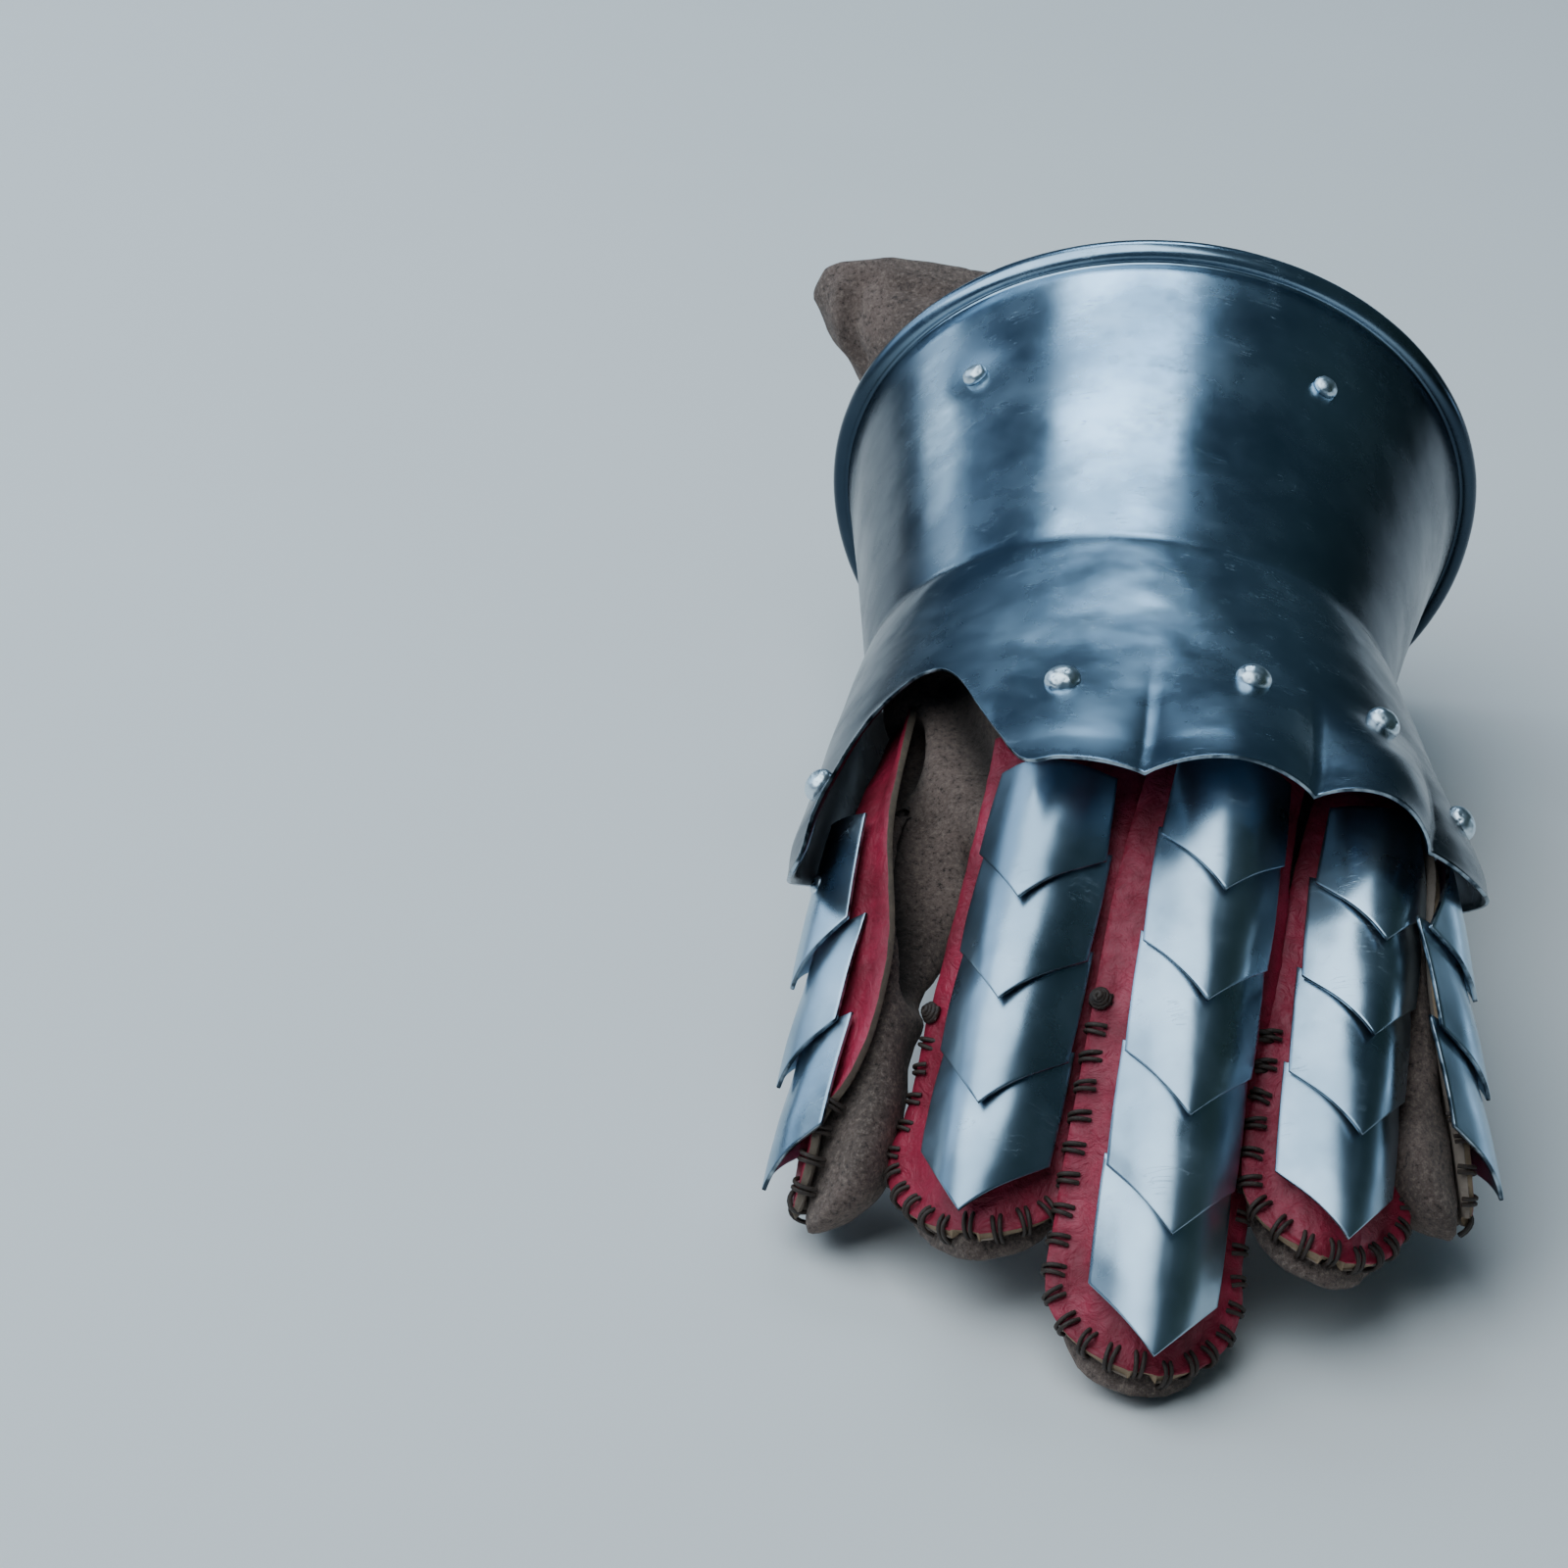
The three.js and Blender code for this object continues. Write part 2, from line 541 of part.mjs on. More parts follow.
function gloveGeometry(fingerFrameSets) {
  const layer = (inset) => {
    const rooms = FINGERS.map((finger, k) => toManifold(clearSolid(finger, fingerFrameSets[k], inset)));
    const fingers = FINGERS.map((finger, k) => {
      const solid = toManifold(fingerSolid(finger, fingerFrameSets[k], inset));
      const neighbours = rooms.filter((room, j) => Math.abs(j - k) === 1);
      return neighbours.reduce((rest, room) => rest.subtract(room), solid);
    });
    const hand = union([handSolid(inset), thumbBaseSolid(inset)]).subtract(rooms[rooms.length - 1]);
    return fingers.reduce((whole, finger) => whole.add(finger), hand);
  };
  const pieces = layer(0).subtract(layer(SUEDE_WALL)).decompose();
  pieces.sort((a, b) => b.volume() - a.volume());
  return fromManifold(pieces[0]);
}

// ---- rivets: a domed head with a shank through the steel ----
function rivetGeometry(radius, height, shank) {
  const profile = [new THREE.Vector2(0, -shank), new THREE.Vector2(SHANK_RADIUS, -shank)];
  profile.push(new THREE.Vector2(SHANK_RADIUS, 0));
  for (const turn of [0, 35, 65]) {
    profile.push(new THREE.Vector2(radius * Math.cos(turn * DEGREE), height * Math.sin(turn * DEGREE)));
  }
  profile.push(new THREE.Vector2(0, height));
  const geometry = new THREE.LatheGeometry(profile, RIVET_SIDES);
  geometry.rotateX(Math.PI / 2);
  return geometry;
}

function shankHole(point, normal) {
  const radius = SHANK_RADIUS + SHANK_CLEARANCE;
  const hole = new THREE.CylinderGeometry(radius, radius, 8, 8);
  hole.applyQuaternion(new THREE.Quaternion().setFromUnitVectors(new THREE.Vector3(0, 1, 0), normal));
  hole.translate(point.x, point.y, point.z);
  return hole;
}

function addMesh(group, name, geometry, material) {
  const mesh = new THREE.Mesh(geometry, material);
  mesh.name = name;
  group.add(mesh);
  return mesh;
}

function addRivet(group, name, geometry, point, normal) {
  const mesh = addMesh(group, name, geometry, RIVET_STEEL);
  mesh.position.copy(along(point, normal, RIVET_LIFT));
  mesh.quaternion.setFromUnitVectors(new THREE.Vector3(0, 0, 1), normal);
}

const gauntlet = new THREE.Group();
const frameSets = FINGERS.map(fingerFrames);

const rivetPlaces = RIVETS.map((rivet) => {
  const normal = plateNormal(meridianAngle(rivet.meridian, rivet.s), rivet.s);
  return { ...rivet, point: platePoint(rivet.meridian, rivet.s, 0), normal };
});
const holes = rivetPlaces.map(({ point, normal }) => shankHole(point, normal));
const plate = holes.reduce((solid, hole) => solid.subtract(toManifold(hole)), toManifold(plateGeometry()));
addMesh(gauntlet, 'hourglass_plate', fromManifold(plate), STEEL);
for (const { name, radius, height, point, normal } of rivetPlaces) {
  addRivet(gauntlet, name, rivetGeometry(radius, height, PLATE_WALL + RIVET_LIFT), point, normal);
}

FINGERS.forEach((finger, index) => {
  const frames = frameSets[index];
  const { lame } = WIDTHS[finger.name];
  const turn = Math.max(0, (finger.bend[1] - finger.bend[0]) / (finger.lames - 1));
  const clear = (LAME_WALL + GAP) / Math.cos(crownSlope(CROWN_STRAIGHT));
  const step = clear + (CHEVRON + LAP_SIDE) * Math.tan(turn * DEGREE);
  frames.tips.forEach((frame, k) => {
    const previous = k === 0 ? frames.root : frames.tips[k - 1];
    const length = k === 0 ? ROOT_BACK[finger.name] : finger.pitch;
    const lap = k === 0 ? FIRST_LAP : LAP_CENTRE;
    const lapSide = k === 0 ? FIRST_LAP - CHEVRON : LAP_SIDE;
    const rootShares = k === 0 ? ROOT_SHARES[finger.name].lame : [1, 1];
    const rootWidths = lame.map((width, side) => width * rootShares[side]);
    const straight = lameFrame(previous, frame, step);
    const name = `lame_${finger.name}_${k + 1}`;
    const geometry = lameGeometry(straight, lame, rootWidths, length, lap, lapSide);
    if (name !== LAME_RIVET.lame) {
      addMesh(gauntlet, name, geometry, LAME_STEEL);
      return;
    }
    const { x, back, radius, height } = LAME_RIVET;
    const point = lamePoint(straight, x, -back, 0);
    const normal = lamePoint(straight, x, -back, 1).sub(point);
    const drilled = toManifold(geometry).subtract(toManifold(shankHole(point, normal)));
    addMesh(gauntlet, name, fromManifold(drilled), LAME_STEEL);
    addRivet(gauntlet, LAME_RIVET.name, rivetGeometry(radius, height, LAME_WALL + RIVET_LIFT), point, normal);
  });
  addMesh(gauntlet, `strip_${finger.name}`, stripGeometry(finger, frames), RED_LEATHER);
});
addMesh(gauntlet, 'suede_glove', gloveGeometry(frameSets), SUEDE);

const bounds = new THREE.Box3().setFromObject(gauntlet);
const middle = bounds.getCenter(new THREE.Vector3());
gauntlet.position.set(-middle.x, -middle.y, -bounds.min.z);

const group = new THREE.Group();
group.add(gauntlet);

export default group;
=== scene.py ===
"""A left hourglass gauntlet: steel plate and lames on red leather strips, stitched to a suede glove."""

import math
from contextlib import contextmanager

import bmesh
import bpy
import numpy as np
from mathutils import Matrix, Vector, noise


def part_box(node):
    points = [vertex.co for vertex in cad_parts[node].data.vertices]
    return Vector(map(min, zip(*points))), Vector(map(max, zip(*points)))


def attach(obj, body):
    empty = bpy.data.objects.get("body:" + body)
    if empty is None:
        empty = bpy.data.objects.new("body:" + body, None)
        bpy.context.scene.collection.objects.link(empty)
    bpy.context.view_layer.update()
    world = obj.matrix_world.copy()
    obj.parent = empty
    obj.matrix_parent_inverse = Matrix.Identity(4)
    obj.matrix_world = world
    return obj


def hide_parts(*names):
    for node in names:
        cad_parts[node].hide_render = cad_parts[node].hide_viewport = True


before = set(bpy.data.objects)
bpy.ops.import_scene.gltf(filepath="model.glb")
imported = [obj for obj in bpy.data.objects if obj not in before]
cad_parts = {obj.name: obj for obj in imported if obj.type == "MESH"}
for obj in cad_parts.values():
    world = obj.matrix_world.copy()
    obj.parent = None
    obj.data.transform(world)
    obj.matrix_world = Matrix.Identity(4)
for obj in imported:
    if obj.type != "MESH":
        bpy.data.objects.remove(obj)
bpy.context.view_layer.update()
MM = 0.001


def table(columns, *rows):
    """Rows of values as dictionaries, with the names of their columns."""
    return [dict(zip(columns.split(), row)) for row in rows]


# ---- steel plate, in millimetres in the maker's own frame: y runs back to the cuff, z up ----
PLATE_WALL = 1.5
RIM, WAIST, KNUCKLES = table(
    "x z half_width rise drop lean",
    (-0.8, 56.5, 70.4, 60.4, 68.4, -0.12),
    (-6, 51.5, 55.5, 43, 43, -0.35),
    (-3.8, 51.5, 67, 36, 36, -0.35),
)
CUFF_LENGTH = 92
HAND_LENGTH = 82
CUFF_CURVE = 1.15
CUFF_PALM_CURVE = 1.7
HAND_CURVE = 0.9
CUFF_WRAP = 1.03
ROLL_RADIUS = 2.6
ROLL_OUTSET = 0.7
RIDGE_START, RIDGE_FULL = 42, 80
RIDGES = table(
    "from to height",
    (-26, -0.8, 2.2),
    (-0.8, 27.5, 4.5),
    (27.5, 53, 5.2),
    (53, 88, 1.2),
)
EDGE_SWING_FROM, EDGE_SWING_TO = 91, 44
# Lower edge of the plate: angle round the hand, reach from the waist, swing of that meridian.
EDGE_PARTS = {
    "wing": [
        (-118, 60, -17), (-108, 74, -11), (-98, 85, -5), (-88, 92.5, 0), (-80, 95.5, 0), (-75.5, 95, 0),
    ],
    "arch": [
        (-72.5, 91, 0), (-70, 79, 0), (-66.5, 69.5, 0), (-63, 62, 0), (-57.5, 54, 0), (-51.5, 48.5, 0),
        (-44, 44.5, 0), (-38.5, 46, 0), (-34.5, 52, 0), (-30, 63.5, 0), (-25.5, 75, 0),
    ],
    "index": [(-21, 88, 0.5), (-14, 90, 1.5), (-7, 91, 2)],
    "first groove": [(-0.8, 92, 3)],
    "middle": [(5, 91, 3.5), (13, 90, 4), (21, 90, 4.5)],
    "second groove": [(27.5, 90.5, 5)],
    "ring": [(34, 90, 6), (40.5, 90.5, 7), (47, 91.8, 8)],
    "third groove": [(53, 93.5, 9)],
    "little": [(59, 94, 11), (66, 94, 13), (76, 91.5, 14), (86, 83.5, 15)],
    "palm": [(97, 74, 16), (108, 66, 17), (118, 54, 17)],
}
EDGE = [(part, *row) for part, rows in EDGE_PARTS.items() for row in rows]

# ---- fingers: "at" is the point of the first lame, "pitch" the step between points, angles in degrees ----
FINGERS = dict(zip(("index", "middle", "ring", "little", "thumb"), table(
    "lames at yaw bend roll pitch root_back strip_under under_shift",
    (4, (-26.6, -115, 65.4), -9, (38, 45.5), -13, 20.2, 25, 26, 0),
    (5, (11.6, -117, 71.2), -7.5, (34.5, 48), 16, 22.1, 25, 20, 0),
    (4, (42.5, -113.5, 61), -6.5, (30, 39.5), 24, 19.8, 25, 20, 0),
    (3, (61.4, -107.5, 45.4), 12, (43, 42), 78, 19.2, 25, 20, 0),
    (3, (-68.8, -103, 34.3), -3.5, (34, 41.5), -77, 20.2, 31, 34, 4),
)))
# Half widths left and right of the middle line, and the shares of them left at the root.
WIDTHS = dict(zip(FINGERS, table(
    "lame strip strip_tip suede suede_tip lame_root soft_root",
    ((12.8, 12.8), (17.4, 16), (22, 16.5), (16.6, 15.2), (21.4, 15.9), (0.9, 0.9), (0.9, 0.9)),
    ((12.2, 12.2), (16.4, 14.6), (17.6, 17), (15.6, 13.8), (17, 16.4), (0.9, 0.9), (0.9, 0.9)),
    ((12.4, 10.9), (14.4, 13.2), (15.8, 17.3), (13.6, 12.4), (15.2, 16.7), (0.9, 0.45), (0.9, 0.45)),
    ((12, 12.4), (7, 15), (3.5, 15.4), (6.2, 14.2), (12, 14.8), (0.15, 0.9), (0.15, 0.9)),
    ((12.1, 11.3), (15.2, 15.4), (15.2, 7), (14.4, 14.6), (14.4, 15), (0.8, 0.9), (0.9, 0.8)),
)))
GAP = 0.35
LAME_WALL = 0.9
STRIP_WALL = 1.8
SUEDE_WALL = 1.5
CROWN, CROWN_STRAIGHT = 0.053, 8.6
CHEVRON = 12.7
LAP_CENTRE, LAP_SIDE, FIRST_LAP = 9, 2.5, 5
STRIP_DEPTH = 6.35
UNDER_PITCH = 10
STRIP_REACH, GLOVE_REACH = 2.5, 7.7
TIP_ROUND, TIP_BLUNT, TIP_ARCH, UNDER_ARCH = 15, 0.15, 0.7, 0.5
FINGER_FLANK = 8
# Rows of points down the plate, the share of the cuff before the roll, and the turn of the roll in degrees.
HAND_ROWS, CUFF_ROWS, ROLL_ROWS = 64, 54, 17
CUFF_PLAIN = 0.965
ROLL_TURNS = (-12, 225)
# Painted shade down the plate's sides, standing in for dark reflections there: the middle it is measured
# round (x, z), the turn where it begins and how far it grows.
SIDE_SHADE_CENTRE = (-4, 50)
SIDE_SHADE_THUMB_SIDE = {"from": 40, "over": 26}
SIDE_SHADE_OUTER_SIDE = {"from": 33, "over": 34}
# Wear and hand work, in millimetres.
LAME_COLUMNS, LAME_ROWS = 41, 22
LAME_BULGE, LAME_WOBBLE, LAME_LUMP = 0.35, 0.1, 9
HAMMER_DEPTH, HAMMER_SIZE = 0.22, 17
FINE_HAMMER_DEPTH, FINE_HAMMER_SIZE = 0.05, 6
CUFF_HAMMERING, STEEL_BEVEL = 0.35, 0.2
EDGE_FLARE, EDGE_FLARE_WIDTH, EDGE_THINNING = 0.2, 1.4, 0.75
CREASE_DEPTH, CREASE_WIDTH = 0.45, 3
CUFF_DENT, KNUCKLE_DENT, DENT_SPREAD = 0.7, 0.15, 2.2
STRIP_WRINKLE, FINE_WRINKLE, STRIP_CURL, STRIP_EDGE_DROP = 0.3, 0.18, 2, 0.35
GLOVE_VOXEL, SLIVER, CUFF_SPARE = 1.9, 0.5, 8
GLOVE_CREASE, CREASE_LUMP, GLOVE_SINK, DEEP_FOLD = 0.7, 9, 0.25, 6
STITCH_PITCH = 5.6
# Folds of the suede: the line each one follows, how far it stands out (or sinks in) and its width.
FOLDS = table(
    "along out width",
    ([(-52, -50, 63), (-50, -66, 59), (-47, -83, 54), (-45, -93, 46), (-44, -103, 37)], -8, 4.6),
    ([(-49, -40, 67), (-46, -61, 61), (-41, -72, 53), (-38, -84, 43)], 2.2, 4),
    ([(-43, -40, 72), (-38, -58, 70), (-33, -70, 66)], -6, 6),
    ([(-40, -82, 42), (-43, -95, 37), (-45, -106, 32)], 3, 5),
    ([(-72, 108, 97), (-71, 104, 82), (-68, 100, 70)], -1.6, 2.2),
    ([(-76, 110, 94), (-74, 106, 80), (-70, 100, 68)], 1.4, 2.6),
    ([(-78, 112, 98), (-60, 106, 96), (-44, 100, 100)], -1.2, 3),
    ([(-76, 112, 103), (-60, 108, 103), (-44, 102, 106)], 1.2, 3.4),
)

# ---- suede hand, cuff and thumb base ----
HAND_STATIONS = table(
    "y x z half_width rise drop flap",
    (-88, 8, 54, 32, 9, 14, 0),
    (-74, 2, 57, 39, 15, 19, 0),
    (-50, -3, 60, 49, 20, 22, 0),
    (-8, -8, 58, 49, 29, 24, 0),
    (40, -3, 57, 52, 35, 32, 0),
    (82, 0, 57, 62, 46, 48, 0),
    (98, -2, 57, 62, 45, 55, 0.22),
    (116, -4, 58, 64, 44, 57, 0.5),
)
FLAP_ANGLE, FLAP_SPREAD = -54, 16
HAND_POINTS, THUMB_POINTS, FINGER_POINTS = 48, 24, 17
THUMB_HEADING, THUMB_ACROSS = (-0.4, -0.87, -0.28), (0.87, -0.4, 0)
THUMB_BASE = table(
    "at radius",
    ((-22, -14, 56), 17),
    ((-35, -50, 47.5), 12.5),
    ((-48, -80, 40), 9.5),
    ((-51, -102, 33), 7),
)

# ---- rivets: meridian and station on the plate, head radius and height ----
RIVETS = table(
    "node meridian s radius height",
    ("rivet_knuckle_index", -15.5, 59, 3.6, 2.7),
    ("rivet_knuckle_middle", 15.5, 52, 3.6, 2.7),
    ("rivet_knuckle_ring", 42, 49, 3.6, 2.7),
    ("rivet_knuckle_little", 66, 66, 3.6, 2.7),
    ("rivet_wing", -73, 68, 3.4, 2.6),
    ("rivet_cuff_thumb_side", -37.4, -64, 2.8, 1.8),
    ("rivet_cuff_outer_side", 27.5, -64, 2.8, 1.8),
)
LAME_RIVET = {"node": "rivet_thumb_lame", "x": 2, "back": 22, "radius": 2, "height": 1.3}


def unit(vector):
    return vector / np.linalg.norm(vector, axis=-1, keepdims=True)


def ease(value):
    value = np.clip(value, 0, 1)
    return value * value * (3 - 2 * value)


# ---- the plate's surface ----
def plate_section(s):
    cuff_share = np.clip(-s / CUFF_LENGTH, 0, None)
    hand_share = np.clip(s / HAND_LENGTH, 0, 1) ** HAND_CURVE
    section = {}
    for key, waist in WAIST.items():
        curve = CUFF_PALM_CURVE if key == "drop" else CUFF_CURVE
        cuff = waist + (RIM[key] - waist) * cuff_share**curve
        hand = waist + (KNUCKLES[key] - waist) * hand_share
        section[key] = np.where(s < 0, cuff, hand)
    return section


def ridge_height(edge_angle, s):
    height = np.zeros_like(edge_angle + s, dtype=float)
    start = ease((s - RIDGE_START) / (RIDGE_FULL - RIDGE_START))
    for ridge in RIDGES:
        share = (edge_angle - ridge["from"]) / (ridge["to"] - ridge["from"])
        inside = (share > 0) & (share < 1)
        arch = np.sin(np.pi * np.clip(share, 0, 1)) ** 0.8
        height = np.where(inside, ridge["height"] * arch * start, height)
    return height


def meridian_angle(edge_angle, s):
    swing = np.interp(edge_angle, [row[1] for row in EDGE], [row[3] for row in EDGE])
    share = np.clip((EDGE_SWING_FROM - s) / (EDGE_SWING_FROM - EDGE_SWING_TO), 0, 1)
    wrap = 1 + (CUFF_WRAP - 1) * np.maximum(0, -s / CUFF_LENGTH)
    return (edge_angle + swing * share) * wrap


def smooth_point(angle, s):
    section = plate_section(s)
    turn = np.radians(angle)
    lift = np.cos(turn) * np.where(np.cos(turn) > 0, section["rise"], section["drop"])
    x = section["x"] + section["half_width"] * np.sin(turn)
    return np.stack([x, section["lean"] * lift - s, section["z"] + lift], axis=-1)


def plate_normal(angle, s):
    across = smooth_point(angle + 1, s) - smooth_point(angle - 1, s)
    lengthwise = smooth_point(angle, s - 1) - smooth_point(angle, s + 1)
    return unit(np.cross(across, lengthwise))


def plate_point(edge_angle, s, out=0):
    """A point on the plate on the meridian named by its edge angle, "out" from the outer face."""
    edge_angle, s, out = np.broadcast_arrays(np.float64(edge_angle), np.float64(s), np.float64(out))
    angle = meridian_angle(edge_angle, s)
    height = out + ridge_height(edge_angle, s)
    return smooth_point(angle, s) + plate_normal(angle, s) * height[..., None]


# ---- the fingers' frames and surfaces ----
def turn_frame(point, heading, flat_side, slope, roll):
    forward = heading * math.cos(math.radians(slope)) + np.array([0, 0, -math.sin(math.radians(slope))])
    flat_up = unit(-np.cross(flat_side, forward))
    sine, cosine = math.sin(math.radians(roll)), math.cos(math.radians(roll))
    side = flat_side * cosine - flat_up * sine
    up = flat_side * sine + flat_up * cosine
    return {"point": point, "forward": forward, "side": side, "up": up}


def finger_frames(name):
    finger = FINGERS[name]
    yaw = math.radians(finger["yaw"])
    heading = np.array([math.sin(yaw), -math.cos(yaw), 0])
    flat_side = np.array([math.cos(yaw), math.sin(yaw), 0])
    low, high = finger["bend"]
    tips = []
    for k in range(finger["lames"]):
        slope = low + (high - low) * k / (finger["lames"] - 1)
        turned = turn_frame(np.array(finger["at"], float), heading, flat_side, slope, finger["roll"])
        if k:
            turned["point"] = tips[-1]["point"] + turned["forward"] * finger["pitch"]
        tips.append(turned)
    back = tips[0]["point"] - tips[0]["forward"] * finger["root_back"]
    root = turn_frame(back, heading, flat_side, low * 0.75, finger["roll"])
    under = turn_frame(back, heading, flat_side, UNDER_PITCH, finger["roll"])
    under["point"] = back - under["forward"] * finger["strip_under"] + flat_side * finger["under_shift"]
    return under, root, tips


def crown_drop(x):
    round_part = np.minimum(np.abs(x), CROWN_STRAIGHT)
    return CROWN * round_part**2 + 2 * CROWN * CROWN_STRAIGHT * (np.abs(x) - round_part)


def crown_slope(x):
    return np.arctan(2 * CROWN * np.clip(x, -CROWN_STRAIGHT, CROWN_STRAIGHT))


def across(share, half_widths):
    return share * np.where(share < 0, half_widths[0], half_widths[1])


def lame_frame(previous, turned, step):
    start = previous["point"] - previous["up"] * step
    forward = unit(turned["point"] - start)
    up = unit(-np.cross(turned["side"], forward))
    return {"point": turned["point"], "forward": forward, "side": turned["side"], "up": up}


def lame_point(turned, x, q, out):
    slope = crown_slope(x)
    lift = out * np.cos(slope) - crown_drop(x)
    shift = x + out * np.sin(slope)
    return (turned["point"] + turned["forward"] * q[..., None] + turned["up"] * lift[..., None]
            + turned["side"] * shift[..., None])


def arch_point(row, x, out):
    slope = np.arctan(np.tan(crown_slope(x)) * row["arch"])
    lift = out * np.cos(slope) - STRIP_DEPTH - crown_drop(x) * row["arch"]
    shift = x + out * np.sin(slope)
    return row["point"] + row["up"] * lift[..., None] + row["side"] * shift[..., None]


def finger_rows(name, layer, reach, turns=(0, 15, 30, 42, 52, 62, 70, 78, 86)):
    """Frames and half widths down a finger, from under the plate to the end that the turns round off."""
    under, root, tips = finger_frames(name)
    body, tip = WIDTHS[name][layer], WIDTHS[name][layer + "_tip"]
    narrow = [width * share for width, share in zip(body, WIDTHS[name]["soft_root"])]
    rows = [{**under, "widths": narrow, "arch": UNDER_ARCH, "close": 1}]
    rows.append({**root, "widths": narrow, "arch": 1, "close": 1})
    for k, turned in enumerate(tips[:-1]):
        share = k / (len(tips) - 1)
        widths = [low + (high - low) * share for low, high in zip(body, tip)]
        rows.append({**turned, "widths": widths, "arch": 1, "close": 1})
    last = tips[-1]
    for turn in turns:
        ahead = reach - TIP_ROUND * (1 - math.sin(math.radians(turn)))
        close = max(TIP_BLUNT, math.cos(math.radians(turn)))
        arch = TIP_ARCH + (1 - TIP_ARCH) * close * 0.5
        point = last["point"] + last["forward"] * ahead
        widths = [width * close for width in tip]
        rows.append({**last, "point": point, "widths": widths, "arch": arch, "close": close})
    return rows


# ---- lames ----
def lame_setup(name, k):
    """The straight frame of a lame, its half widths at both ends, and its lengths."""
    finger, widths = FINGERS[name], WIDTHS[name]["lame"]
    root, tips = finger_frames(name)[1:]
    low, high = finger["bend"]
    turn = max(0, (high - low) / (finger["lames"] - 1))
    clear = (LAME_WALL + GAP) / math.cos(crown_slope(CROWN_STRAIGHT))
    step = clear + (CHEVRON + LAP_SIDE) * math.tan(math.radians(turn))
    straight = lame_frame(tips[k - 1] if k else root, tips[k], step)
    if k:
        return straight, widths, widths, finger["pitch"], LAP_CENTRE, LAP_SIDE
    root_widths = [width * share for width, share in zip(widths, WIDTHS[name]["lame_root"])]
    return straight, widths, root_widths, finger["root_back"], FIRST_LAP, FIRST_LAP - CHEVRON


def lame_grid(name, k, shares, lengthwise, out):
    """Points on a lame: shares run across it from -1 to 1, lengthwise from its point (0) to its root (1)."""
    straight, widths, root_widths, length, lap_centre, lap_side = lame_setup(name, k)
    share, along = np.meshgrid(shares, lengthwise)
    low = -CHEVRON * np.abs(share)
    high = -length - lap_centre - (CHEVRON + lap_side - lap_centre) * np.abs(share)
    q = low + (high - low) * along
    x = across(share, widths) * (1 - along) + across(share, root_widths) * along
    bulge = LAME_BULGE * np.sin(np.pi * np.clip((low - q) / length, 0, 1))
    return lame_point(straight, x, q, out + bulge)


def maker_offset():
    """Where the maker's own frame sits in the row frame, read from the last lame of the middle finger."""
    name, k = "middle", FINGERS["middle"]["lames"] - 1
    corners = [lame_grid(name, k, np.linspace(-1, 1, 9), np.array([0, 1]), out) for out in (0, -LAME_WALL)]
    lowest = np.concatenate([grid.reshape(-1, 3) for grid in corners]).min(axis=0)
    return np.array(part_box(f"lame_{name}_{k + 1}")[0]) / MM - lowest


OFFSET = maker_offset()


# ---- meshes from grids of points ----
def hermite(share, width, low, high, low_slope, high_slope):
    """A smooth curve from low to high over that width, with the given slopes at its ends."""
    return (
        (2 * share**3 - 3 * share**2 + 1) * low
        + (share**3 - 2 * share**2 + share) * width * low_slope
        + (3 * share**2 - 2 * share**3) * high
        + (share**3 - share**2) * width * high_slope
    )


def grid_faces(rows, columns, offset=0, flip=False):
    at = np.arange(rows * columns).reshape(rows, columns) + offset
    quads = np.stack([at[:-1, :-1], at[:-1, 1:], at[1:, 1:], at[1:, :-1]], axis=-1).reshape(-1, 4)
    return quads[:, ::-1] if flip else quads


def in_scene(name, data):
    made = bpy.data.objects.new(name, data)
    bpy.context.scene.collection.objects.link(made)
    return made


def mesh_object(name, points, faces, slots, materials):
    """A piece in the row frame from points in the maker's millimetres, with faces pointing outwards."""
    mesh = bpy.data.meshes.new(name)
    mesh.from_pydata(((np.asarray(points) + OFFSET) * MM).tolist(), [], [list(map(int, f)) for f in faces])
    for material in materials:
        mesh.materials.append(material)
    mesh.polygons.foreach_set("material_index", slots)
    mesh.polygons.foreach_set("use_smooth", [True] * len(mesh.polygons))
    mesh.update()
    solid = in_scene(name, mesh)
    face_outwards(solid)
    return solid


@contextmanager
def opened(solid):
    """The piece's mesh for editing, written back when the edit is done."""
    work = bmesh.new()
    work.from_mesh(solid.data)
    yield work
    work.to_mesh(solid.data)
    work.free()


def face_outwards(solid):
    with opened(solid) as work:
        bmesh.ops.recalc_face_normals(work, faces=work.faces)
        if work.calc_volume(signed=True) < 0:
            bmesh.ops.reverse_faces(work, faces=work.faces)


def shell(name, outer, inner, materials):
    """A wall between two grids. Materials are for the outer face, the inner face and the cut edge."""
    rows, columns = outer.shape[:2]
    count = rows * columns
    points = np.concatenate([outer.reshape(-1, 3), inner.reshape(-1, 3)])
    faces = [*grid_faces(rows, columns), *grid_faces(rows, columns, count, flip=True)]
    slots = [0] * (len(faces) // 2) + [1] * (len(faces) // 2)
    at = np.arange(count).reshape(rows, columns)
    loop = np.concatenate([at[0, :-1], at[:-1, -1], at[-1, :0:-1], at[:0:-1, 0]])
    following = np.roll(loop, -1)
    faces += [(a, a + count, b + count, b) for a, b in zip(loop, following)]
    slots += [2] * len(loop)
    return mesh_object(name, points, faces, slots, materials)


def finish_edges(solid, width):
    """A small bevel where two finishes meet, which is the cut edge of the sheet."""
    with opened(solid) as work:
        weights = work.edges.layers.float.new("bevel_weight_edge")
        for edge in work.edges:
            finishes = {face.material_index for face in edge.link_faces}
            if len(edge.link_faces) == 2 and len(finishes) == 2:
                edge[weights] = 1
    modify(solid, "BEVEL", limit_method="WEIGHT", width=width * MM, segments=2)
    bake(solid)


def modify(solid, kind, **settings):
    made = solid.modifiers.new(kind.lower(), kind)
    for key, value in settings.items():
        setattr(made, key, value)


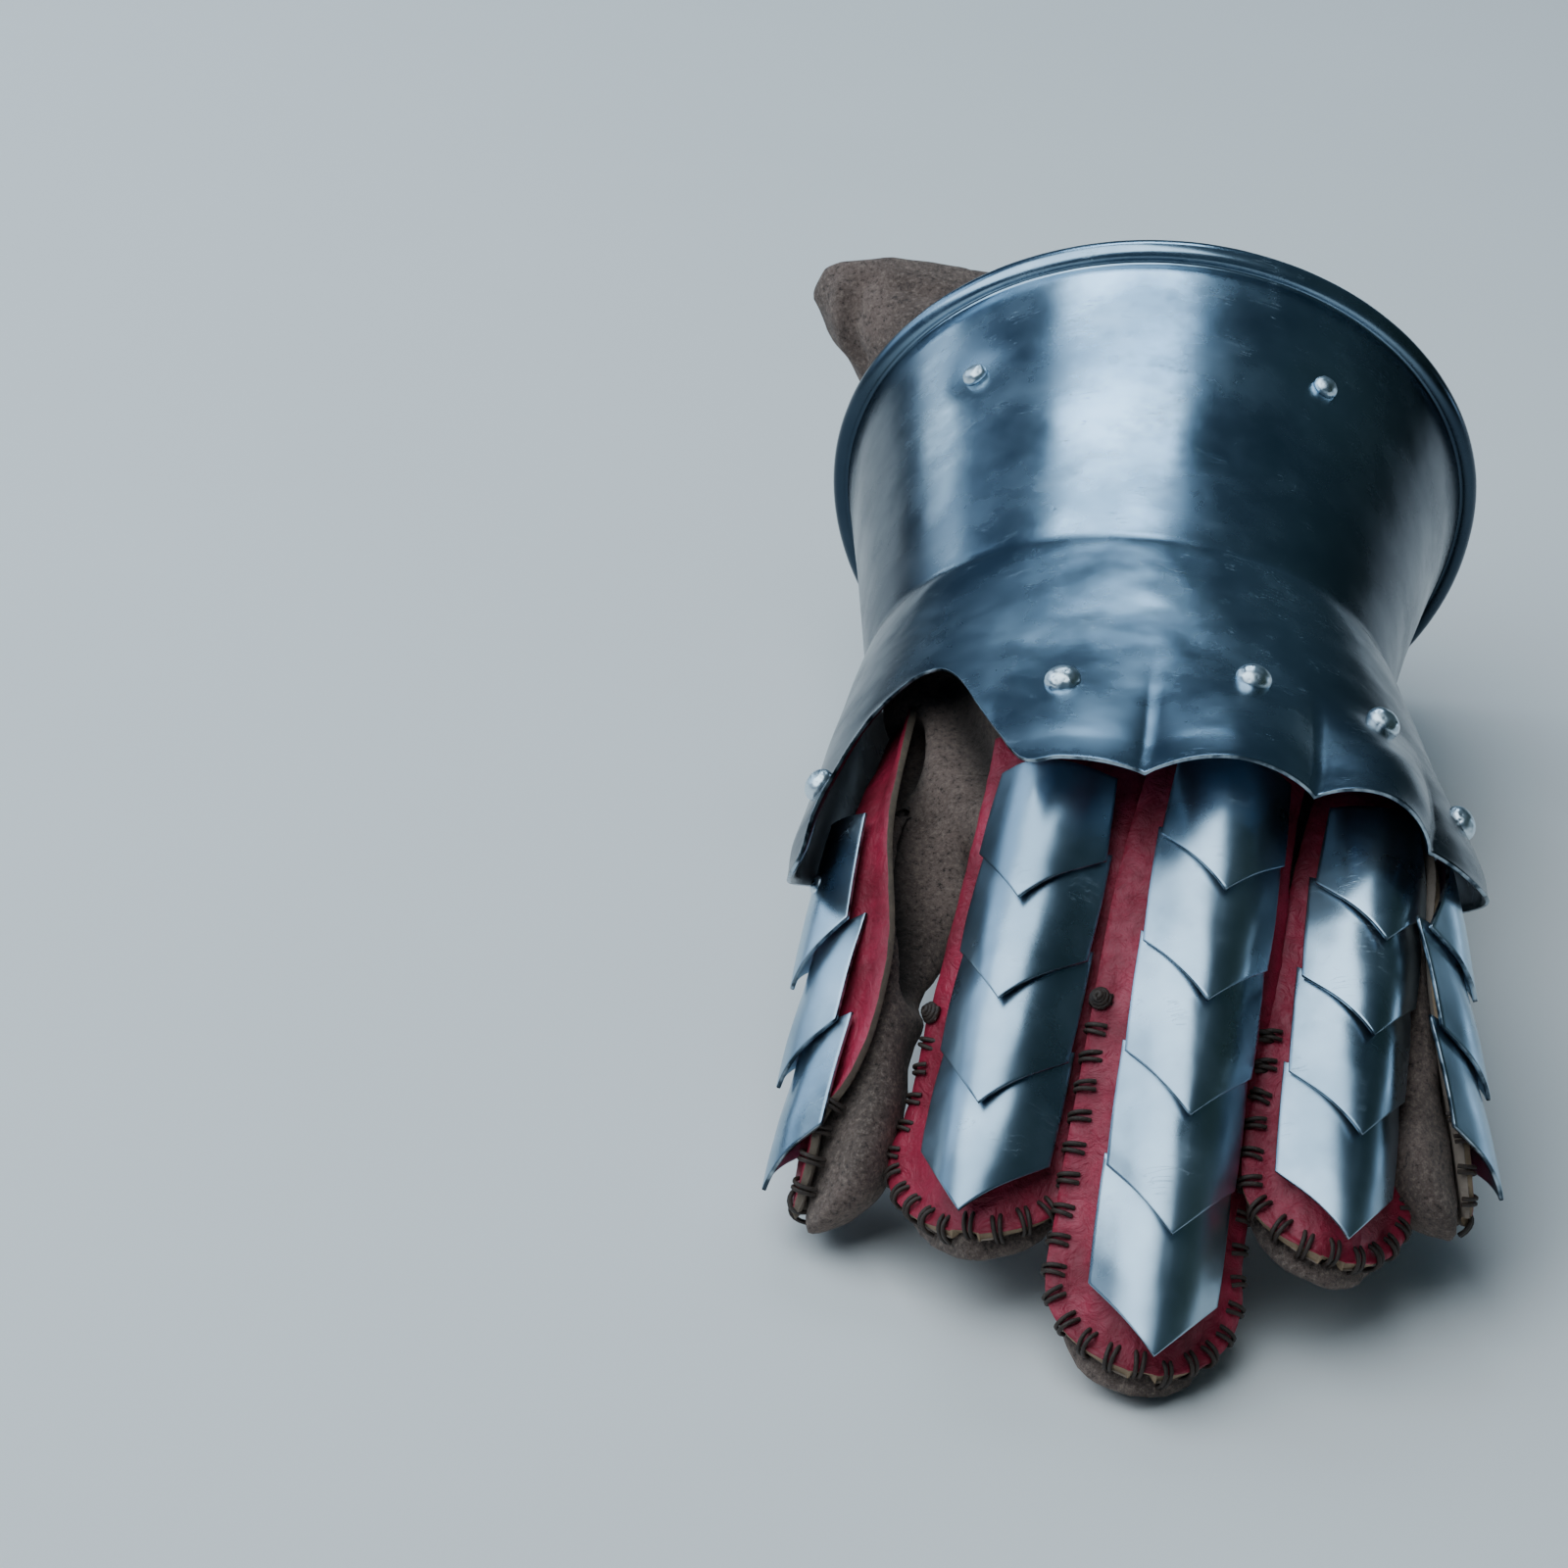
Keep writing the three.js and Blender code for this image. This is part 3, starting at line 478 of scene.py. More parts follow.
def bake(solid):
    """Turns a piece and its modifiers into a plain mesh."""
    depsgraph = bpy.context.evaluated_depsgraph_get()
    plain = bpy.data.meshes.new_from_object(solid.evaluated_get(depsgraph), depsgraph=depsgraph)
    solid.modifiers.clear()
    old, solid.data = solid.data, plain
    bpy.data.meshes.remove(old)
    plain.name = solid.name


def vertex_values(mesh, key):
    values = np.zeros(len(mesh.vertices) * 3)
    mesh.vertices.foreach_get(key, values)
    return values.reshape(-1, 3)


def uneven(points, size, seed=0, octaves=2):
    """Smooth noise from -1 to 1 at each point, with lumps of about that size in millimetres."""
    shifted = np.asarray(points).reshape(-1, 3) / size + seed * 17.3
    values = [noise.fractal(Vector(p), 1.0, 2.0, octaves) for p in shifted]
    return np.array(values).reshape(np.asarray(points).shape[:-1])


# ---- the pieces ----
def smooth_edge_table(columns_per_degree=0.85):
    """The plate's columns: edge angles and reach, smooth between the grooves and corners."""
    angles = np.array([row[1] for row in EDGE], float)
    reach = np.array([row[2] for row in EDGE], float)
    fixed = ["groove" in row[0] for row in EDGE]
    slopes = np.gradient(reach, angles)
    fine_angles, fine_reach = [], []
    for k in range(len(EDGE) - 1):
        width = angles[k + 1] - angles[k]
        chord = (reach[k + 1] - reach[k]) / width
        begin = chord if fixed[k] else slopes[k]
        end = chord if fixed[k + 1] else slopes[k + 1]
        count = max(4, int(width * columns_per_degree))
        for share in np.arange(count) / count:
            fine_angles.append(angles[k] + width * share)
            fine_reach.append(hermite(share, width, reach[k], reach[k + 1], begin, end))
    return np.array(fine_angles + [angles[-1]]), np.array(fine_reach + [reach[-1]])


def dented(edge_angle, s):
    """Hammer marks and small dents of the worn plate, in millimetres."""
    points = plate_point(edge_angle, s)
    marks = HAMMER_DEPTH * uneven(points, HAMMER_SIZE, seed=1)
    marks += FINE_HAMMER_DEPTH * uneven(points, FINE_HAMMER_SIZE, seed=2)
    marks *= np.where(s < 0, CUFF_HAMMERING, 1)
    marks -= CREASE_DEPTH * np.exp(-np.abs(s) / CREASE_WIDTH)
    for rivet in RIVETS:
        centre = plate_point(rivet["meridian"], rivet["s"])
        distance = np.linalg.norm(points - centre, axis=-1)
        depth = CUFF_DENT if rivet["s"] < 0 else KNUCKLE_DENT
        marks -= depth * np.exp(-((distance / (DENT_SPREAD * rivet["radius"])) ** 2))
    return marks


def make_plate(materials):
    angles, reach = smooth_edge_table()
    hand_shares = 1 - (np.linspace(0, 1, HAND_ROWS) ** 1.05)[:-1]
    flare = EDGE_FLARE * np.exp(-((reach[None, :] * (1 - hand_shares[:, None])) / EDGE_FLARE_WIDTH))
    thinned = EDGE_THINNING * flare / EDGE_FLARE
    hand_s = hand_shares[:, None] * reach[None, :]

    def around(values):
        return np.repeat(values[:, None], len(angles), axis=1)

    cuff_s = around(-CUFF_LENGTH * np.linspace(0, CUFF_PLAIN, CUFF_ROWS))
    turns = np.radians(np.linspace(*ROLL_TURNS, ROLL_ROWS))
    roll_s = around(-CUFF_LENGTH + ROLL_RADIUS * np.cos(turns))
    roll_out = around(ROLL_OUTSET + ROLL_RADIUS * np.sin(turns))
    rim_s = around(np.linspace(-CUFF_LENGTH * 0.97, -CUFF_LENGTH, ROLL_ROWS))
    level, rim_level = np.zeros_like(cuff_s), np.zeros_like(roll_s)
    s = np.concatenate([hand_s, cuff_s, roll_s])
    out = np.concatenate([flare, level, roll_out])
    inner_s = np.concatenate([hand_s, cuff_s, rim_s])
    inner_out = np.concatenate([flare + thinned, level, rim_level]) - PLATE_WALL
    edge_angle = np.broadcast_to(angles, s.shape)
    marks = dented(edge_angle, s)
    outer = plate_point(edge_angle, s, out + marks)
    inner = plate_point(edge_angle, inner_s, inner_out + marks * 0.8)
    plate = shell("polished_hourglass_plate", outer, inner, materials)
    finish_edges(plate, STEEL_BEVEL)
    # Marks where painted shade darkens the plate's sides.
    paint_side_shade(plate)
    return plate


def paint_side_shade(plate):
    """Painted shade down the plate's sides, standing in for dark reflections there: an attribute from 0 on
    its back to 1.
    """
    place = vertex_values(plate.data, "co") / MM - OFFSET
    turn = np.degrees(np.arctan2(place[:, 0] - SIDE_SHADE_CENTRE[0], place[:, 2] - SIDE_SHADE_CENTRE[1]))
    thumb_side = ease((-turn - SIDE_SHADE_THUMB_SIDE["from"]) / SIDE_SHADE_THUMB_SIDE["over"])
    outer_side = ease((turn - SIDE_SHADE_OUTER_SIDE["from"]) / SIDE_SHADE_OUTER_SIDE["over"])
    painted_side_shade = np.where(turn < 0, thumb_side, outer_side)
    plate.data.attributes.new("painted_side_shade", "FLOAT", "POINT").data.foreach_set("value", painted_side_shade)


def make_lame(name, k, materials):
    shares = np.linspace(-1, 1, LAME_COLUMNS)
    lengthwise = np.linspace(0, 1, LAME_ROWS) ** 1.2
    outer = lame_grid(name, k, shares, lengthwise, 0)
    wobble = LAME_WOBBLE * uneven(outer, LAME_LUMP, seed=3 + k)
    outer = lame_grid(name, k, shares, lengthwise, wobble)
    inner = lame_grid(name, k, shares, lengthwise, wobble - LAME_WALL)
    lame = shell(f"polished_lame_{name}_{k + 1}", outer, inner, materials)
    finish_edges(lame, STEEL_BEVEL)
    return lame


def spline_rows(rows_of_points, spacing):
    """More rows, about that far apart, on smooth curves through the given rows."""
    steps = np.linalg.norm(np.diff(rows_of_points, axis=0), axis=-1).mean(axis=1)
    place = np.concatenate([[0], np.cumsum(steps)])
    tangents = np.gradient(rows_of_points, place, axis=0)
    fine = np.linspace(0, place[-1], max(2, int(place[-1] / spacing)))
    fine = np.unique(np.concatenate([fine, place]))
    low = np.clip(np.searchsorted(place, fine, side="right") - 1, 0, len(place) - 2)
    width = (place[low + 1] - place[low])[:, None, None]
    share = ((fine - place[low])[:, None, None]) / width
    return hermite(
        share, width, rows_of_points[low], rows_of_points[low + 1], tangents[low], tangents[low + 1])


def surface_normals(grid):
    return unit(np.cross(np.gradient(grid, axis=1), -np.gradient(grid, axis=0)))


def strip_surface(name, spacing=1.5, columns=31):
    """The outer face of a strip, with its long edges curled up a little."""
    shares = np.linspace(-1, 1, columns)
    curl = STRIP_CURL * ease((np.abs(shares) - 0.72) / 0.28)
    rows = [arch_point(row, across(shares, row["widths"]), curl * row["close"])
            for row in finger_rows(name, "strip", STRIP_REACH)]
    return spline_rows(np.array(rows), spacing)


def make_strip(name, materials):
    surface = strip_surface(name)
    normals = surface_normals(surface)
    creases = STRIP_WRINKLE * uneven(surface * [1, 0.45, 0.45], 5, seed=11)
    creases += FINE_WRINKLE * uneven(surface, 2.6, seed=12)
    edge = np.minimum(np.linspace(0, 1, surface.shape[1]), np.linspace(1, 0, surface.shape[1]))
    rounding = -STRIP_EDGE_DROP * np.exp(-edge / 0.03)
    outer = surface + normals * (creases + rounding)[..., None]
    inner = surface - normals * STRIP_WALL
    strip = shell(f"red_leather_strip_{name}", outer, inner, materials)
    finish_edges(strip, STRIP_EDGE_DROP)
    return strip


def closed_loft(name, rings):
    """A closed solid through rings of points, with a fan over each end."""
    count = rings.shape[1]
    points = rings.reshape(-1, 3)
    faces = []
    for ring in range(len(rings) - 1):
        for k in range(count):
            a, b = ring * count + k, ring * count + (k + 1) % count
            faces.append((a, b, b + count, a + count))
    hubs = np.array([rings[0].mean(axis=0), rings[-1].mean(axis=0)])
    for hub, ring in ((len(points), 0), (len(points) + 1, len(rings) - 1)):
        faces += [(hub, ring * count + k, ring * count + (k + 1) % count) for k in range(count)]
    return mesh_object(name, np.concatenate([points, hubs]), faces, [0] * len(faces), [])


def finger_tube(name):
    """The suede round one finger: close under the strip on its back, half round on the palm side."""
    shares = np.linspace(-1, 1, FINGER_POINTS)
    rings = []
    for row in finger_rows(name, "suede", GLOVE_REACH):
        back = arch_point(row, across(shares, row["widths"]), np.full(len(shares), -STRIP_WALL - GAP))
        palm = []
        for share in (0.9, 0.7, 0.4, 0, -0.4, -0.7, -0.9):
            corner = back[-1] if share > 0 else back[0]
            widest = np.array(np.sign(share) or 1)
            side = across(np.array(share), row["widths"]) - across(widest, row["widths"])
            depth = FINGER_FLANK * row["close"] * math.sqrt(1 - share**2)
            middle = (back[-1] + back[0]) / 2 if share == 0 else corner + row["side"] * side
            palm.append(middle - row["up"] * depth)
        rings.append(np.concatenate([back, palm]))
    return closed_loft(f"suede_tube_{name}", spline_rows(np.array(rings), 4))


def hand_ring(station, y):
    angle = np.linspace(-180, 180, HAND_POINTS + 1)[:-1]
    bulge = 1 + station["flap"] * np.exp(-(((angle - FLAP_ANGLE) / FLAP_SPREAD) ** 2))
    lift = np.cos(np.radians(angle))
    height = np.where(lift > 0, station["rise"], station["drop"])
    x = station["x"] + station["half_width"] * bulge * np.sin(np.radians(angle))
    return np.stack([x, np.full_like(x, y), station["z"] + height * bulge * lift], axis=-1)


def thumb_tube():
    side = unit(np.array(THUMB_ACROSS))
    up = np.cross(side, unit(np.array(THUMB_HEADING)))
    turns = np.linspace(0, 2 * np.pi, THUMB_POINTS + 1)[:-1, None]
    around = side * np.cos(turns) + up * np.sin(turns)
    rings = [np.array(ring["at"]) + ring["radius"] * around for ring in THUMB_BASE]
    return closed_loft("suede_thumb_base", np.array(rings))


def make_glove(materials):
    stations = [hand_ring(station, station["y"]) for station in HAND_STATIONS]
    stations.append(hand_ring(HAND_STATIONS[-1], HAND_STATIONS[-1]["y"] + CUFF_SPARE))
    parts = [closed_loft("suede_hand", spline_rows(np.array(stations), 5)), thumb_tube()]
    parts += [finger_tube(name) for name in FINGERS]
    glove = parts[0]
    glove.name = "suede_glove_finished"
    join(glove, parts[1:])
    modify(glove, "REMESH", mode="VOXEL", voxel_size=GLOVE_VOXEL * MM)
    modify(glove, "SMOOTH", factor=0.5, iterations=5)
    bake(glove)
    open_cuff(glove)
    crumple_glove(glove)
    for material in materials:
        glove.data.materials.append(material)
    modify(glove, "SOLIDIFY", thickness=SUEDE_WALL * MM, offset=-1, material_offset_rim=1)
    bake(glove)
    glove.data.polygons.foreach_set("use_smooth", [True] * len(glove.data.polygons))
    return glove


def join(target, others):
    with opened(target) as work:
        for solid in others:
            work.from_mesh(solid.data)
    for solid in others:
        bpy.data.objects.remove(solid)


def open_cuff(glove):
    """Cuts the closed end of the cuff away, and merges the slivers that the cut leaves."""
    mouth = (HAND_STATIONS[-1]["y"] + OFFSET[1]) * MM
    with opened(glove) as work:
        bmesh.ops.bisect_plane(
            work, geom=[*work.verts, *work.edges, *work.faces], plane_co=(0, mouth, 0),
            plane_no=(0, 1, 0), clear_outer=True)
        bmesh.ops.remove_doubles(work, verts=work.verts, dist=SLIVER * MM)


def distance_to_line(points, corners):
    """The distance from each point to the nearest stretch of a line through the corners."""
    nearest = np.full(len(points), np.inf)
    for begin, end in zip(corners, corners[1:]):
        stretch = end - begin
        share = np.clip((points - begin) @ stretch / (stretch @ stretch), 0, 1)
        nearest = np.minimum(nearest, np.linalg.norm(points - begin - share[:, None] * stretch, axis=-1))
    return nearest


def crumple_glove(glove):
    """Creases all over and the folds of the table; an attribute marks how deep in a sunken fold each point
    lies, for painted shade in the folds.
    """
    mesh = glove.data
    points, normals = vertex_values(mesh, "co") / MM, vertex_values(mesh, "normal")
    place = points - OFFSET
    creases = GLOVE_CREASE * uneven(place * [1, 0.7, 1], CREASE_LUMP, seed=21) - GLOVE_SINK
    painted_fold_shade = np.zeros(len(points))
    for fold in FOLDS:
        away = distance_to_line(place, np.array(fold["along"], float))
        depth = fold["out"] * np.exp(-((away / fold["width"]) ** 2))
        creases += depth
        painted_fold_shade = np.maximum(painted_fold_shade, ease(-depth / DEEP_FOLD - 0.25))
    moved = points + normals * creases[:, None]
    mesh.vertices.foreach_set("co", (moved * MM).ravel())
    mesh.attributes.new("painted_fold_shade", "FLOAT", "POINT").data.foreach_set("value", painted_fold_shade)
    mesh.update()


# ---- rivets and stitches, made by trees of geometry nodes ----
class Nodes:
    """Makes the nodes of a tree, each by one call that gives its outputs."""

    def __init__(self, tree):
        self.tree = tree

    def add(self, kind, inputs=None, **settings):
        """An input is given a plain value, or the socket that it is linked to."""
        made = self.tree.nodes.new(kind)
        for key, value in settings.items():
            setattr(made, key, value)
        for key, value in (inputs or {}).items():
            if isinstance(value, bpy.types.NodeSocket):
                self.tree.links.new(value, made.inputs[key])
            else:
                made.inputs[key].default_value = value
        return made.outputs

    def maths(self, operation, first, second):
        return self.add("ShaderNodeMath", {0: first, 1: second}, operation=operation)[0]


class Tree(Nodes):
    """A group of geometry nodes with named inputs and one geometry output."""

    def __init__(self, name, inputs):
        super().__init__(bpy.data.node_groups.new(name, "GeometryNodeTree"))
        new_socket = self.tree.interface.new_socket
        new_socket("Geometry", in_out="INPUT", socket_type="NodeSocketGeometry")
        for label, (kind, value) in inputs.items():
            socket = new_socket(label, in_out="INPUT", socket_type="NodeSocket" + kind)
            if value is not None:
                socket.default_value = value
        new_socket("Geometry", in_out="OUTPUT", socket_type="NodeSocketGeometry")
        self.given = self.add("NodeGroupInput")
        self.result = self.tree.nodes.new("NodeGroupOutput").inputs[0]

    def named(self, attribute, kind="FLOAT_VECTOR"):
        return self.add("GeometryNodeInputNamedAttribute", {"Name": attribute}, data_type=kind)[0]

    def turned_out(self):
        return self.add("FunctionNodeAlignRotationToVector", {"Vector": self.named("out")}, axis="Z")[0]

    def strand(self, curve):
        """A thread along a curve, as thick as the tree's own input says."""
        ring = self.add("GeometryNodeCurvePrimitiveCircle", {"Resolution": 6, "Radius": self.given["Thread"]})
        return self.add("GeometryNodeCurveToMesh", {
            "Curve": curve, "Profile Curve": ring["Curve"], "Fill Caps": True})[0]

    def finish(self, instances, material):
        real = self.add("GeometryNodeRealizeInstances", {"Geometry": instances})[0]
        smooth = self.add("GeometryNodeSetShadeSmooth", {"Geometry": real})[0]
        dressed = self.add("GeometryNodeSetMaterial", {"Geometry": smooth, "Material": material})[0]
        self.tree.links.new(dressed, self.result)
        return self.tree


def grown(name, group, points, edges, attributes, inputs):
    """A plain mesh grown by a node group on a mesh of points and edges."""
    mesh = bpy.data.meshes.new(name)
    mesh.from_pydata(((np.asarray(points) + OFFSET) * MM).tolist(), edges, [])
    for label, values in attributes.items():
        values = np.asarray(values, float)
        kind, key = ("FLOAT", "value") if values.ndim == 1 else ("FLOAT_VECTOR", "vector")
        mesh.attributes.new(label, kind, "POINT").data.foreach_set(key, values.ravel())
    piece = in_scene(name, mesh)
    modifier = piece.modifiers.new(group.name, "NODES")
    modifier.node_group = group
    for item in group.interface.items_tree:
        if item.in_out == "INPUT" and item.name in inputs:
            modifier[item.identifier] = inputs[item.name]
    bake(piece)
    return piece


def rivet_tree():
    tree = Tree("domed rivets", {
        "Segments": ("Int", 28), "Hammering": ("Float", 0.12 * MM), "Seed": ("Float", 3.0),
        "Steel": ("Material", None)})
    dome = tree.add("GeometryNodeMeshUVSphere", {
        "Segments": tree.given["Segments"], "Rings": 20, "Radius": 1.0})
    place = tree.add("GeometryNodeInputPosition")[0]
    parts = tree.add("ShaderNodeSeparateXYZ", {0: place})
    foot = tree.maths("MAXIMUM", parts[2], -0.3)
    flat = tree.add("ShaderNodeCombineXYZ", {0: parts[0], 1: parts[1], 2: foot})[0]
    head = tree.add("GeometryNodeSetPosition", {"Geometry": dome["Mesh"], "Position": flat})[0]
    radius = tree.named("radius", "FLOAT")
    size = tree.add("ShaderNodeCombineXYZ", {0: radius, 1: radius, 2: tree.named("height", "FLOAT")})[0]
    heads = tree.add("GeometryNodeInstanceOnPoints", {
        "Points": tree.given["Geometry"], "Instance": head, "Rotation": tree.turned_out(), "Scale": size})[0]
    real = tree.add("GeometryNodeRealizeInstances", {"Geometry": heads})[0]
    marks = tree.add("ShaderNodeTexNoise", {"Scale": 420.0, "Detail": 1.0, "W": tree.given["Seed"]},
                     noise_dimensions="4D")[0]
    swing = tree.add("ShaderNodeMapRange", {"Value": marks, "To Min": -1.0, "To Max": 1.0})[0]
    depth = tree.maths("MULTIPLY", swing, tree.given["Hammering"])
    normal = tree.add("GeometryNodeInputNormal")[0]
    push = tree.add("ShaderNodeVectorMath", {0: normal, "Scale": depth}, operation="SCALE")[0]
    beaten = tree.add("GeometryNodeSetPosition", {"Geometry": real, "Offset": push})[0]
    return tree.finish(beaten, tree.given["Steel"])


def make_rivets(steel):
    points, outs = [], []
    for rivet in RIVETS:
        angle = meridian_angle(rivet["meridian"], rivet["s"])
        outs.append(plate_normal(angle, rivet["s"]))
        points.append(plate_point(rivet["meridian"], rivet["s"]))
    straight = lame_setup("thumb", 0)[0]
    x, q = np.array(LAME_RIVET["x"], float), np.array(-LAME_RIVET["back"], float)
    points.append(lame_point(straight, x, q, 0))
    outs.append(straight["up"] + straight["side"] * math.tan(float(crown_slope(x))))
    all_rivets = [*RIVETS, LAME_RIVET]
    attributes = {
        "out": unit(np.array(outs)),
        "radius": [rivet["radius"] * MM for rivet in all_rivets],
        "height": [rivet["height"] * MM for rivet in all_rivets],
    }
    rivets = grown("hammered_rivets", rivet_tree(), points, [], attributes, {"Steel": steel})
    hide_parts(*[rivet["node"] for rivet in all_rivets])
    return rivets


def stitch_tree():
    tree = Tree("whip stitches", {
        "Pitch": ("Float", STITCH_PITCH * MM), "Thread": ("Float", 0.45 * MM), "Spread": ("Float", 0.55 * MM),
        "Seed": ("Int", 5), "Waxed thread": ("Material", None)})
    curve = tree.add("GeometryNodeMeshToCurve", {"Mesh": tree.given["Geometry"]})[0]
    places = tree.add("GeometryNodeResampleCurve", {
        "Curve": curve, "Length": tree.given["Pitch"]}, mode="LENGTH")[0]
    strand = tree.add("GeometryNodeCurvePrimitiveBezierSegment", {
        "Resolution": 9, "Start": (0, -3.6 * MM, -0.2 * MM), "Start Handle": (0, -1.6 * MM, 1.9 * MM),
        "End Handle": (0, 2.2 * MM, 0.4 * MM), "End": (0, 0.1 * MM, -3.8 * MM)})[0]
    both = tree.tree.nodes.new("GeometryNodeJoinGeometry")
    for side in (-1, 1):
        aside = tree.maths("MULTIPLY", tree.given["Spread"], float(side))
        shift = tree.add("ShaderNodeCombineXYZ", {0: aside})[0]
        laid = tree.add("GeometryNodeTransform", {
            "Geometry": strand, "Translation": shift, "Rotation": (0, 0, math.radians(4 * side))})[0]
        tree.tree.links.new(laid, both.inputs[0])
    turn = tree.add("FunctionNodeAxesToRotation", {
        "Primary Axis": tree.named("out"), "Secondary Axis": tree.named("over")},
        primary_axis="Z", secondary_axis="Y")[0]
    stitches = tree.add("GeometryNodeInstanceOnPoints", {
        "Points": places, "Instance": tree.strand(both.outputs[0]), "Rotation": turn})[0]
    sway = tree.add("FunctionNodeRandomValue", {
        "Min": (-0.12, -0.1, -0.16), "Max": (0.12, 0.1, 0.16), "Seed": tree.given["Seed"]},
        data_type="FLOAT_VECTOR")[0]
    swayed = tree.add("GeometryNodeRotateInstances", {"Instances": stitches, "Rotation": sway})[0]
    return tree.finish(swayed, tree.given["Waxed thread"])


def stitch_paths():
    """Points, edges, where each strip begins, and the directions out of the leather and over its edge."""
    points, edges, begins, outs, overs = [], [], {}, [], []
    for name in FINGERS:
        surface = strip_surface(name, spacing=2.5)
        normals = surface_normals(surface)
        second = lame_setup(name, 1)[0]
        start = int(np.argmin(np.linalg.norm(surface[:, 0] - second["point"], axis=-1)))
        path, out = (
            np.concatenate([grid[start:, 0], grid[-1, 1:-1], grid[:start - 1:-1, -1]])
            for grid in (surface, normals))
        begins[name] = len(points)
        points.extend(path)
        outs.extend(out)
        overs.extend(unit(np.cross(np.gradient(path, axis=0), out)))
        edges += [(k, k + 1) for k in range(begins[name], len(points) - 1)]
    return np.array(points), edges, begins, np.array(outs), np.array(overs)


def make_stitches(thread):
    points, edges, _, outs, overs = stitch_paths()
    attributes = {"out": outs, "over": overs}
    return grown("whip_stitches", stitch_tree(), points, edges, attributes, {"Waxed thread": thread})


def knot_tree():
    tree = Tree("thread knots", {
        "Turns": ("Float", 3.3), "Thread": ("Float", 0.6 * MM), "Waxed thread": ("Material", None)})
    coil = tree.add("GeometryNodeCurveSpiral", {
        "Resolution": 14, "Rotations": tree.given["Turns"], "Start Radius": 1.9 * MM, "End Radius": 0.4 * MM,
        "Height": 1.7 * MM})[0]
    knots = tree.add("GeometryNodeInstanceOnPoints", {
        "Points": tree.given["Geometry"], "Instance": tree.strand(coil), "Rotation": tree.turned_out()})[0]
    return tree.finish(knots, tree.given["Waxed thread"])


def make_knots(thread):
    """The seams of the thumb, index and middle finger begin with a knot on the leather."""
    points, _, begins, outs, overs = stitch_paths()
    chosen = [begins[name] for name in ("thumb", "index", "middle")]
    place = points[chosen] - 1.6 * overs[chosen] + 0.3 * outs[chosen]
    return grown("thread_knots", knot_tree(), place, [], {"out": outs[chosen]}, {"Waxed thread": thread})


# ---- finishes ----
class Finish(Nodes):
    """A material with one main shader. Patterns read object coordinates in metres."""

    def __init__(self, name, **values):
        self.material = bpy.data.materials.new(name)
        self.material.use_nodes = True
        super().__init__(self.material.node_tree)
        self.shader = self.tree.nodes["Principled BSDF"]
        self.place = self.add("ShaderNodeTexCoord")["Object"]
        for key, value in values.items():
            self.shader.inputs[key.replace("_", " ")].default_value = value

    def drive(self, socket, value):
        self.tree.links.new(value, self.shader.inputs[socket])

    def stretched(self, scale, turn=(0, 0, 0)):
        return self.add("ShaderNodeMapping", {
            "Vector": self.place, "Rotation": tuple(map(math.radians, turn)), "Scale": scale})[0]

    def noise(self, scale, detail=3.0, roughness=0.55, where=None, distortion=0.0):
        return self.add("ShaderNodeTexNoise", {
            "Vector": where or self.place, "Scale": scale, "Detail": detail, "Roughness": roughness,
            "Distortion": distortion})[0]

    def ramp(self, value, low, high, to_low=0.0, to_high=1.0):
        return self.add("ShaderNodeMapRange", {
            "Value": value, "From Min": low, "From Max": high, "To Min": to_low, "To Max": to_high},
            interpolation_type="SMOOTHSTEP")[0]

    def times(self, first, second):
        return self.maths("MULTIPLY", first, second)

    def blend(self, share, first, second):
        first, second = (c if isinstance(c, bpy.types.NodeSocket) else (*c, 1) for c in (first, second))
        return self.add("ShaderNodeMix", {0: share, 6: first, 7: second}, data_type="RGBA")[2]

    def bump(self, height, depth, strength=1.0, under=None):
        inputs = {"Height": height, "Distance": depth, "Strength": strength}
        if under:
            inputs["Normal"] = under
        return self.add("ShaderNodeBump", inputs)[0]


def scratches(finish, scale, turn, thin, seed):
    """Broken fine lines: bands of a stretched noise, kept only here and there."""
    lines = finish.noise(1.0, 2.0, 0.5, finish.stretched((scale * 0.05, scale, scale * 0.3), turn), 0.4)
    near = finish.maths("ABSOLUTE", finish.maths("SUBTRACT", lines, 0.5), 0.0)
    line = finish.ramp(near, thin, 0.0)
    kept = finish.ramp(finish.noise(75.0 + seed * 17, 3.0), 0.58, 0.7)
    return finish.times(line, kept)


